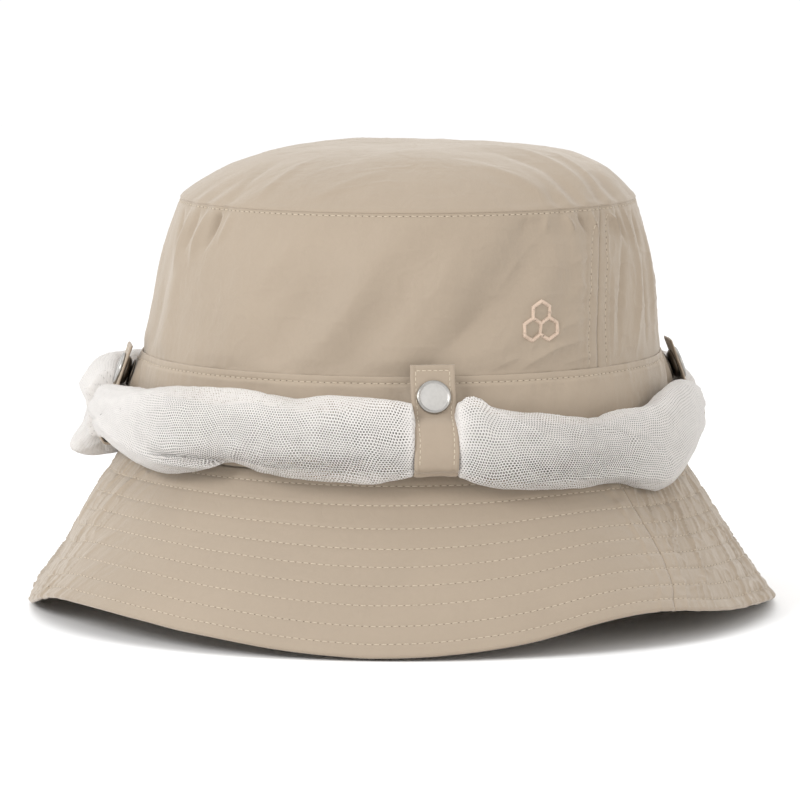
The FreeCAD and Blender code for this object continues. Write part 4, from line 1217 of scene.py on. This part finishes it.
    prof = [(0, -4.1), (3.2, -4.1), (3.8, -4.06), (4.0, -3.92), (4.0, -3.7), (3.85, -3.55), (3.4, -3.5), (1.4, -3.5), (1.4, 0.1), (0, 0.1)]
    post = lathe("snap_post_%s_metal" % name, prof, M_dark, place, 64)
    ride_on(post, "root", "snap_dark_metal")
    if name == "front":
        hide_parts("snap_studs")
        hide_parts("snap_posts")

# ------------------------------------------------------------------ rolled net
ROLL_TOP = periodic([(-170, 84.0), (-140, 84.5), (-122, 85.5), (-108, 86.4), (-98, 85.0), (-90, 80.2), (-83, 79.8), (-76, 80.4), (-68, 81.0), (-60, 82.7), (-52, 84.5), (-42, 85.1), (-33.5, 84.5), (-27, 83.3),
                     (-21, 84.8), (-14, 84.3), (-7, 83.4), (-4.3, 82.5), (0, 82.2), (4.5, 82.3), (6.4, 83.8), (8.8, 83.1), (10.6, 80.9), (14, 79.4), (19, 77.9), (26, 76.1), (34.5, 74.4), (39, 75.3), (45, 76.0),
                     (50.5, 77.3), (57, 80.5), (62, 81.6), (68, 81.6), (76, 80.0), (83, 78.4), (90, 78.6), (96, 81.5), (104, 84.2), (114, 84.6), (132, 82.6), (150, 84.5), (165, 83.4), (174, 82.6), (180, 82.2)], -170)
ROLL_BOT = periodic([(-170, 55.0), (-140, 52.6), (-122, 50.0), (-112, 49.0), (-104, 49.6), (-97, 55.0), (-90, 60.6), (-84, 61.2), (-76.4, 59.8), (-69, 57.2), (-61, 54.6), (-56, 54.0), (-50.6, 54.9), (-44, 57.4),
                     (-40.5, 59.8), (-37.3, 58.8), (-32.7, 56.9), (-25, 55.8), (-16.6, 55.5), (-10.5, 55.3), (-6.5, 56.3), (-4.1, 57.0), (0, 57.4), (4.8, 56.6), (7.5, 54.4), (12.2, 52.5), (18, 51.6), (24, 51.6),
                     (31, 51.9), (36.6, 51.4), (40.5, 50.4), (44.6, 48.4), (50.4, 47.0), (54, 48.0), (60.6, 52.8), (68, 57.5), (76, 60.5), (84, 61.0), (90, 60.5), (96, 57.0), (106, 52.6), (120, 50.6), (140, 52.5),
                     (160, 52.0), (172, 55.0), (180, 57.4)], -170)
ROLL_OUT = periodic([(-170, 109.8), (-140, 110.0), (-124, 111.8), (-112, 113.2), (-104, 112.8), (-97, 111.6), (-92, 111.2), (-86, 111.3), (-78, 110.8), (-65, 110.0), (-50, 110.4), (-40, 108.4), (-25, 110.5),
                     (-12, 110.2), (-6, 109.4), (-4.2, 109.0), (0, 108.6), (4.2, 109.0), (7, 109.7), (14, 110.4), (25, 110.5), (36, 109.6), (48, 110.8), (58, 110.0), (68, 108.6), (78, 107.8), (84, 107.7), (90, 107.8),
                     (97, 109.4), (108, 110.8), (130, 110.5), (150, 110.2), (168, 109.6), (176, 109.2), (180, 109.0)], -170)
LOOSE_TOP = periodic([(-170, 1.5), (-130, 2.0), (-100, 1.0), (-78, 0.6), (-66, 0.8), (-58, 3.0), (-46, 4.6), (-36, 4.0), (-27, 3.4), (-18, 4.6), (-10, 3.0), (-5, 1.4), (5, 1.6), (12, 1.8), (24, 1.3), (40, 1.2), (60, 1.0),
                      (85, 1.0), (120, 2.4), (150, 1.4)], -170)
LOOSE_BOT = periodic([(-170, 2.0), (-130, 2.0), (-100, 1.5), (-72, 1.5), (-60, 3.0), (-50, 3.6), (-41, 2.4), (-32, 4.6), (-20, 5.6), (-10, 5.0), (-5, 3.0), (5, 3.0), (12, 4.8), (24, 4.4), (34, 2.4), (46, 2.8), (60, 1.4),
                      (85, 1.2), (120, 3.0), (150, 2.0)], -170)
GATHER = periodic([(-170, 0.35), (-130, 0.3), (-108, 0.75), (-92, 0.95), (-80, 0.95), (-70, 0.85), (-62, 0.55), (-54, 0.25), (-42, 0.12), (-30, 0.05), (-8, 0.05), (0, 0.3), (8, 0.08), (24, 0.05), (40, 0.12), (52, 0.35),
                   (62, 0.62), (74, 0.85), (92, 0.9), (106, 0.6), (130, 0.2), (160, 0.2)], -170)
ROLL_IN = 95.9


def strap_distance(U):
    d = np.full(np.shape(U), 999.0)
    for _, az in STRAPS:
        d = np.minimum(d, np.abs(wrap180(U - az)))
    return d


def columns(n):
    """Azimuths all round, closer together near the straps."""
    g = np.linspace(-180, 180, 7201)
    dens = 1 + 2.6 * np.exp(-((strap_distance(g) - 3.9) / 2.2) ** 2)
    c = np.concatenate([[0], np.cumsum(0.5 * (dens[1:] + dens[:-1]))])
    return np.interp(np.arange(n) / n * c[-1], c, g)


def net_points(u, t):
    U, Tt = np.meshgrid(u, t, indexing="ij")
    dist = strap_distance(U)
    w = smooth(dist, 4.45, 3.3)
    zt = ROLL_TOP(U) * (1 - w) + 74.9 * w
    zb = ROLL_BOT(U) * (1 - w) + 59.3 * w
    ro = ROLL_OUT(U) * (1 - w) + 106.3 * w
    k = Tt
    inset = 0.85 * k + 0.15 * noise2(U / 360 * 40, k * 1.7, 402, 40)
    lt = np.maximum(LOOSE_TOP(U) * (1 + 0.2 * noise1(U / 5.0, 403, 72)), 0.2) * smooth(k, 0.55, 1.15) * (1 - w)
    lb = np.maximum(LOOSE_BOT(U) * (1 + 0.2 * noise1(U / 6.0, 404, 60)), 0.2) * smooth(k, 0.85, 1.4) * (1 - w)
    inset = inset * (1 - 0.45 * w)
    top, bot = zt - inset - lt, zb + inset + lb
    inn, out = ROLL_IN + 0.3 * w + inset * 0.85, ro - inset * 0.95 - 0.5 * smooth(k, 0.6, 1.2)
    cz, cr = (top + bot) / 2, (inn + out) / 2
    a_, b_ = (out - inn) / 2, (top - bot) / 2
    ang = TAU * (Tt + 0.64)                  # starts at the inner bottom, goes under and out
    ca, sa = np.cos(ang), np.sin(ang)
    e = 2.25
    fs = 1.0 / (np.abs(ca) ** e + np.abs(sa) ** e) ** (1 / e)
    R, Z = cr + a_ * ca * fs, cz + b_ * sa * fs
    R = R - 0.10 * (Z - cz) * (1 - w)
    # folds along the twisted cloth, drawn together beside the straps
    arc = ang / TAU
    near = np.exp(-((dist - 7) / 11.0) ** 2) * (1 - w)
    side_ = np.exp(-((np.abs(wrap180(U)) - 88) / 22.0) ** 2)
    wr = 0.55 * noise2(U / 360 * 26 + arc * 2.6, arc * 7.0, 405, 26) + 0.30 * noise2(U / 360 * 60 + arc * 5.0, arc * 11.0, 406, 60)
    wr = wr + 0.45 * near * np.sin(arc * TAU * 5 + 2.2 * noise1(U / 360 * 33, 407, 33)) + 0.6 * side_ * (ridged(U / 360 * 40 + arc * 3, arc * 8, 411, 40) - 0.3)
    wr = wr + 0.85 * (ridged(U / 360 * 20 + arc * 5.0, arc * 5.0, 414, 20, 2.0) - 0.4) - 0.5 * (ridged(U / 360 * 34 - arc * 6.0, arc * 6.0, 415, 34, 2.0) - 0.3)
    wr = wr + 0.12 * noise2(U / 360 * 240, arc * 30, 408, 240)
    amp = (1 - 0.75 * w) * np.exp(-k * 0.35)
    R, Z = R + wr * ca * amp, Z + wr * sa * amp
    # the twist low on the left of the front: a crease that runs back from the pinch, with a lip below it
    first = smooth(-k, -1.3, -1.0)
    X = np.radians(wrap180(U + 40.5)) * 105.0
    line_z = np.interp(X, [-38, -30, -18, -8, 0, 4, 9], [60.5, 60.8, 61.0, 60.6, 60.2, 59.4, 58.0])
    along = smooth(X, -36, -26) * smooth(-X, -7, -1)
    dent = np.exp(-((Z - line_z) / 1.0) ** 2) * along
    lip = np.exp(-((Z - line_z + 2.6) / 1.8) ** 2) * along
    up_line = np.exp(-((X - (Z - 60) * 1.05 - 1.0) / 3.0) ** 2) * smooth(Z, 59, 62) * smooth(-Z, -78, -70)
    R = R + first * smooth(ca, -0.25, 0.35) * (-3.0 * dent + 1.2 * lip + 1.5 * up_line)
    # the loose fold that hangs at the back of the left side
    hang = np.exp(-(wrap180(U + 107.0) / 9.0) ** 2) * first * smooth(ca, 0.0, 0.7)
    R = R + 7.8 * hang * np.exp(-((Z - 53) / 8.0) ** 2)
    Z = Z - 2.0 * hang * np.exp(-((Z - 50) / 8.0) ** 2)
    R = R + 3.6 * np.exp(-(wrap180(U + 103.0) / 8.0) ** 2) * first * smooth(ca, 0.0, 0.6) * smooth(Z, 68, 77)
    # it lies on the brim and against the band
    R = np.maximum(R, band_curve(np.clip(Z, 51, 94)) + 0.55 + 0.25 * np.minimum(k, 5))
    ze = wave(U)
    slope = (Z_BRIM_SEAM - ze - EDGE_DROP) / (R_BRIM_EDGE + EDGE_FLARE * ze - R_BRIM_SEAM)
    floor_z = Z_BRIM_SEAM - (R - R_BRIM_SEAM) * slope + 1.3 + 0.3 * k
    Z = np.maximum(Z, floor_z)
    P = at_ring(R, U, Z)
    gat = np.clip(GATHER(U) + 0.15 * noise2(U / 360 * 30, arc * 6, 412, 30) + 0.5 * np.exp(-((dist - 4.0) / 1.3) ** 2) * (np.abs(wrap180(U)) < 20), 0, 1)
    front = np.exp(-(wrap180(U + 24) / 26.0) ** 2) + 0.55 * np.exp(-(wrap180(U - 26) / 20.0) ** 2)
    # painted shade: the attribute shade is at least 0.42 and grows toward the bottom of the front, where the inner
    # turns lie in shadow; the darker turns' colour follows it
    shade = np.clip(0.42 + 0.85 * smooth(67.5 - Z, 0, 9) * np.clip(front, 0, 1) + 0.10 * noise2(U / 360 * 50, arc * 9, 413, 50), 0, 1)
    fr = np.clip(front, 0, 1)
    gat = np.clip(gat + 0.20 * smooth(Z, 70, 78) * fr, 0, 1) - 0.08 * fr - 0.16 * smooth(68.0 - Z, 0, 6) * fr
    return P, gat, shade


def net_piece(name, n, t, mats, mat_of):
    u = columns(n)
    P, gat, shade = net_points(u, t)
    nv = len(t)
    seg = np.linalg.norm(np.diff(P, axis=1), axis=-1).mean(0)
    vv = np.concatenate([[0], np.cumsum(seg)])[None, :] + t[0] * 78.0
    uu = np.broadcast_to(np.radians(u)[:, None] * 106.0, (n, nv))
    vv = np.broadcast_to(vv, (n, nv))
    skew = 5.0 * noise2(uu / 60 + 7, vv / 70 + 3, 409)
    uv = np.stack([uu + 0.10 * vv + skew, vv + 4.0 * noise2(uu / 45 + 2, vv / 60 + 8, 410)], -1)
    faces = grid_faces(n, nv, wrap_n=True)
    o = new_object(name, P.reshape(-1, 3), faces, mats, face_mats=np.tile([mat_of(x) for x in t[:-1]], n), uv=uv.reshape(-1, 2))
    me = o.data
    # the column that closes the ring keeps its own side of the weave
    layer = me.uv_layers["weave"].data
    q = np.empty(len(layer) * 2)
    layer.foreach_get("uv", q)
    q = q.reshape(-1, 4, 2)
    wide = q[:, :, 0].max(1) - q[:, :, 0].min(1) > 200
    fix = q[wide]
    fix[:, :, 0] = np.where(fix[:, :, 0] < 0, fix[:, :, 0] + TAU * 106.0, fix[:, :, 0])
    q[wide] = fix
    layer.foreach_set("uv", q.ravel())
    at = me.attributes.new("gather", "FLOAT", "POINT")
    at.data.foreach_set("value", gat.ravel().astype(np.float32))
    at = me.attributes.new("shade", "FLOAT", "POINT")
    at.data.foreach_set("value", shade.ravel().astype(np.float32))
    v, f4 = P.reshape(-1, 3), faces
    tri = lambda a, b, c: 0.5 * np.linalg.norm(np.cross(v[f4[:, b]] - v[f4[:, a]], v[f4[:, c]] - v[f4[:, a]]), axis=1).sum() * 1e-6
    return o, tri(0, 1, 2) + tri(0, 2, 3)


TURNS = 5.2
turns = np.concatenate([np.linspace(0, 1.03, 85)[:-1], np.linspace(1.03, 1.95, 36)[:-1], np.linspace(1.95, TURNS, 48)])
net, area = net_piece("veil_net_rolled", 590, turns, [M_net_out, M_net_mid_painted_shade, M_net_in_painted_shade], lambda x: 0 if x < 1.02 else 1 if x < 1.94 else 2)
ride_on(net, "root", "veil_net", "veil_net_roll", "veil_hem_elastic")
print("net area m2", round(area, 4))

# ------------------------------------------------------------------ plain CAD pieces kept: their materials
for node, mat in (("brim_seam_tape", M_tape), ("veil_attachment_tape", M_tape), ("brim_stiffener_front", M_stiff), ("brim_stiffener_back", M_stiff)):
    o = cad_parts[node]
    o.data.materials.clear()
    o.data.materials.append(mat)

# ------------------------------------------------------------------ embroidered motif: three honeycomb cells
th = Threads()
phi_c, z_c = 24.8, 106.8
cell = 3.75


def motif_point(x, y):
    """(x, y) mm on the cloth about the motif's centre, with the cloth's normal."""
    us = phi_c + np.degrees(np.asarray(x) / 88.5)
    zs = z_c + np.asarray(y)
    P = crown_fn(us, zs)
    n = np.cross(crown_fn(us + 0.1, zs) - P, crown_fn(us, zs + 0.1) - P)
    return P, n / np.linalg.norm(n, axis=-1, keepdims=True)


corner = [(cell * math.sin(math.radians(60 * i)), cell * math.cos(math.radians(60 * i))) for i in range(6)]
w = cell * math.sqrt(3)
edges = []
for cx, cy in ((-w / 2, -0.75 * cell), (w / 2, -0.75 * cell), (0, 0.75 * cell)):
    pts = [(cx + x, cy + y) for x, y in corner]
    for i in range(6):
        (x0, y0), (x1, y1) = pts[i], pts[(i + 1) % 6]
        m_ = ((x0 + x1) / 2, (y0 + y1) / 2)
        if all(math.hypot(m_[0] - (a[0] + b[0]) / 2, m_[1] - (a[1] + b[1]) / 2) > 0.1 for a, b in edges):
            edges.append(((x0, y0), (x1, y1)))
rng = np.random.RandomState(77)
for (x0, y0), (x1, y1) in edges:
    L = math.hypot(x1 - x0, y1 - y0)
    tx, ty = (x1 - x0) / L, (y1 - y0) / L
    nst = int(L / 0.30)
    for k in range(nst + 1):
        s = L * k / nst
        cx, cy = x0 + tx * s, y0 + ty * s
        # a short slanted satin stitch over the line
        hw = 0.60 + rng.uniform(-0.05, 0.05)
        dx, dy = -ty * hw + tx * 0.24, tx * hw + ty * 0.24
        q = np.array([-1, -0.75, -0.3, 0.3, 0.75, 1.0])
        P, n = motif_point(cx + dx * q, cy + dy * q)
        h = np.array([-0.12, 0.22, 0.56, 0.56, 0.22, -0.12])
        th.tube(P + n * h[:, None], n, 0.17, sides=6, flat=0.9)
ride_on(th.build("embroidered_cells", M_motif), "root", "crown_nylon")

# ------------------------------------------------------------------ stage, light and colour
s = 3.0
me = bpy.data.meshes.new("floor")
me.from_pydata([(-s, -s, 0), (s, -s, 0), (s, s, 0), (-s, s, 0)], [], [(0, 1, 2, 3)])
floor = bpy.data.objects.new("floor", me)
bpy.context.scene.collection.objects.link(floor)
fm_, nt, out = nodes_of("studio_floor")
b = nt.nodes.new("ShaderNodeBsdfPrincipled")
tc = nt.nodes.new("ShaderNodeTexCoord")
nn = noise_node(nt, tc.outputs["Object"], 3.0, 2.0)
col = ramp(nt, nn, [(0.3, (0.955, 0.955, 0.955)), (0.7, (0.965, 0.965, 0.965))])
nt.links.new(col, b.inputs["Base Color"])
b.inputs["Roughness"].default_value = 0.9
b.inputs["Specular IOR Level"].default_value = 0.1
nt.links.new(b.outputs[0], out.inputs[0])
me.materials.append(fm_)

world = bpy.data.worlds.new("studio")
bpy.context.scene.world = world
world.use_nodes = True
bg = world.node_tree.nodes["Background"]
bg.inputs[0].default_value = (1, 1, 1, 1)
bg.inputs[1].default_value = 1.04


def area_light(name, loc, target, size, power, color=(1, 1, 1)):
    l = bpy.data.lights.new(name, "AREA")
    l.shape = "RECTANGLE"
    l.size, l.size_y = size
    l.energy = power
    l.color = color
    o = bpy.data.objects.new(name, l)
    bpy.context.scene.collection.objects.link(o)
    o.location = loc
    from mathutils import Vector
    o.rotation_euler = (Vector(target) - Vector(loc)).to_track_quat("-Z", "Y").to_euler()
    return o


area_light("key", (-1.25, -0.95, 0.95), (0, 0, 0.08), (0.55, 0.55), 14.3)
area_light("top", (-0.2, 0.1, 1.5), (0, 0, 0.1), (1.2, 1.2), 3.6)
area_light("left", (-1.6, 0.5, 0.35), (-0.1, 0, 0.08), (0.5, 0.5), 1.0)
area_light("fill", (1.3, -1.3, 0.8), (0, 0, 0.06), (0.9, 0.9), 5.4, (1.0, 0.92, 0.82))

vs = bpy.context.scene.view_settings
vs.view_transform = "Standard"
vs.look = "None"
vs.exposure = 0.0
vs.gamma = 1.0
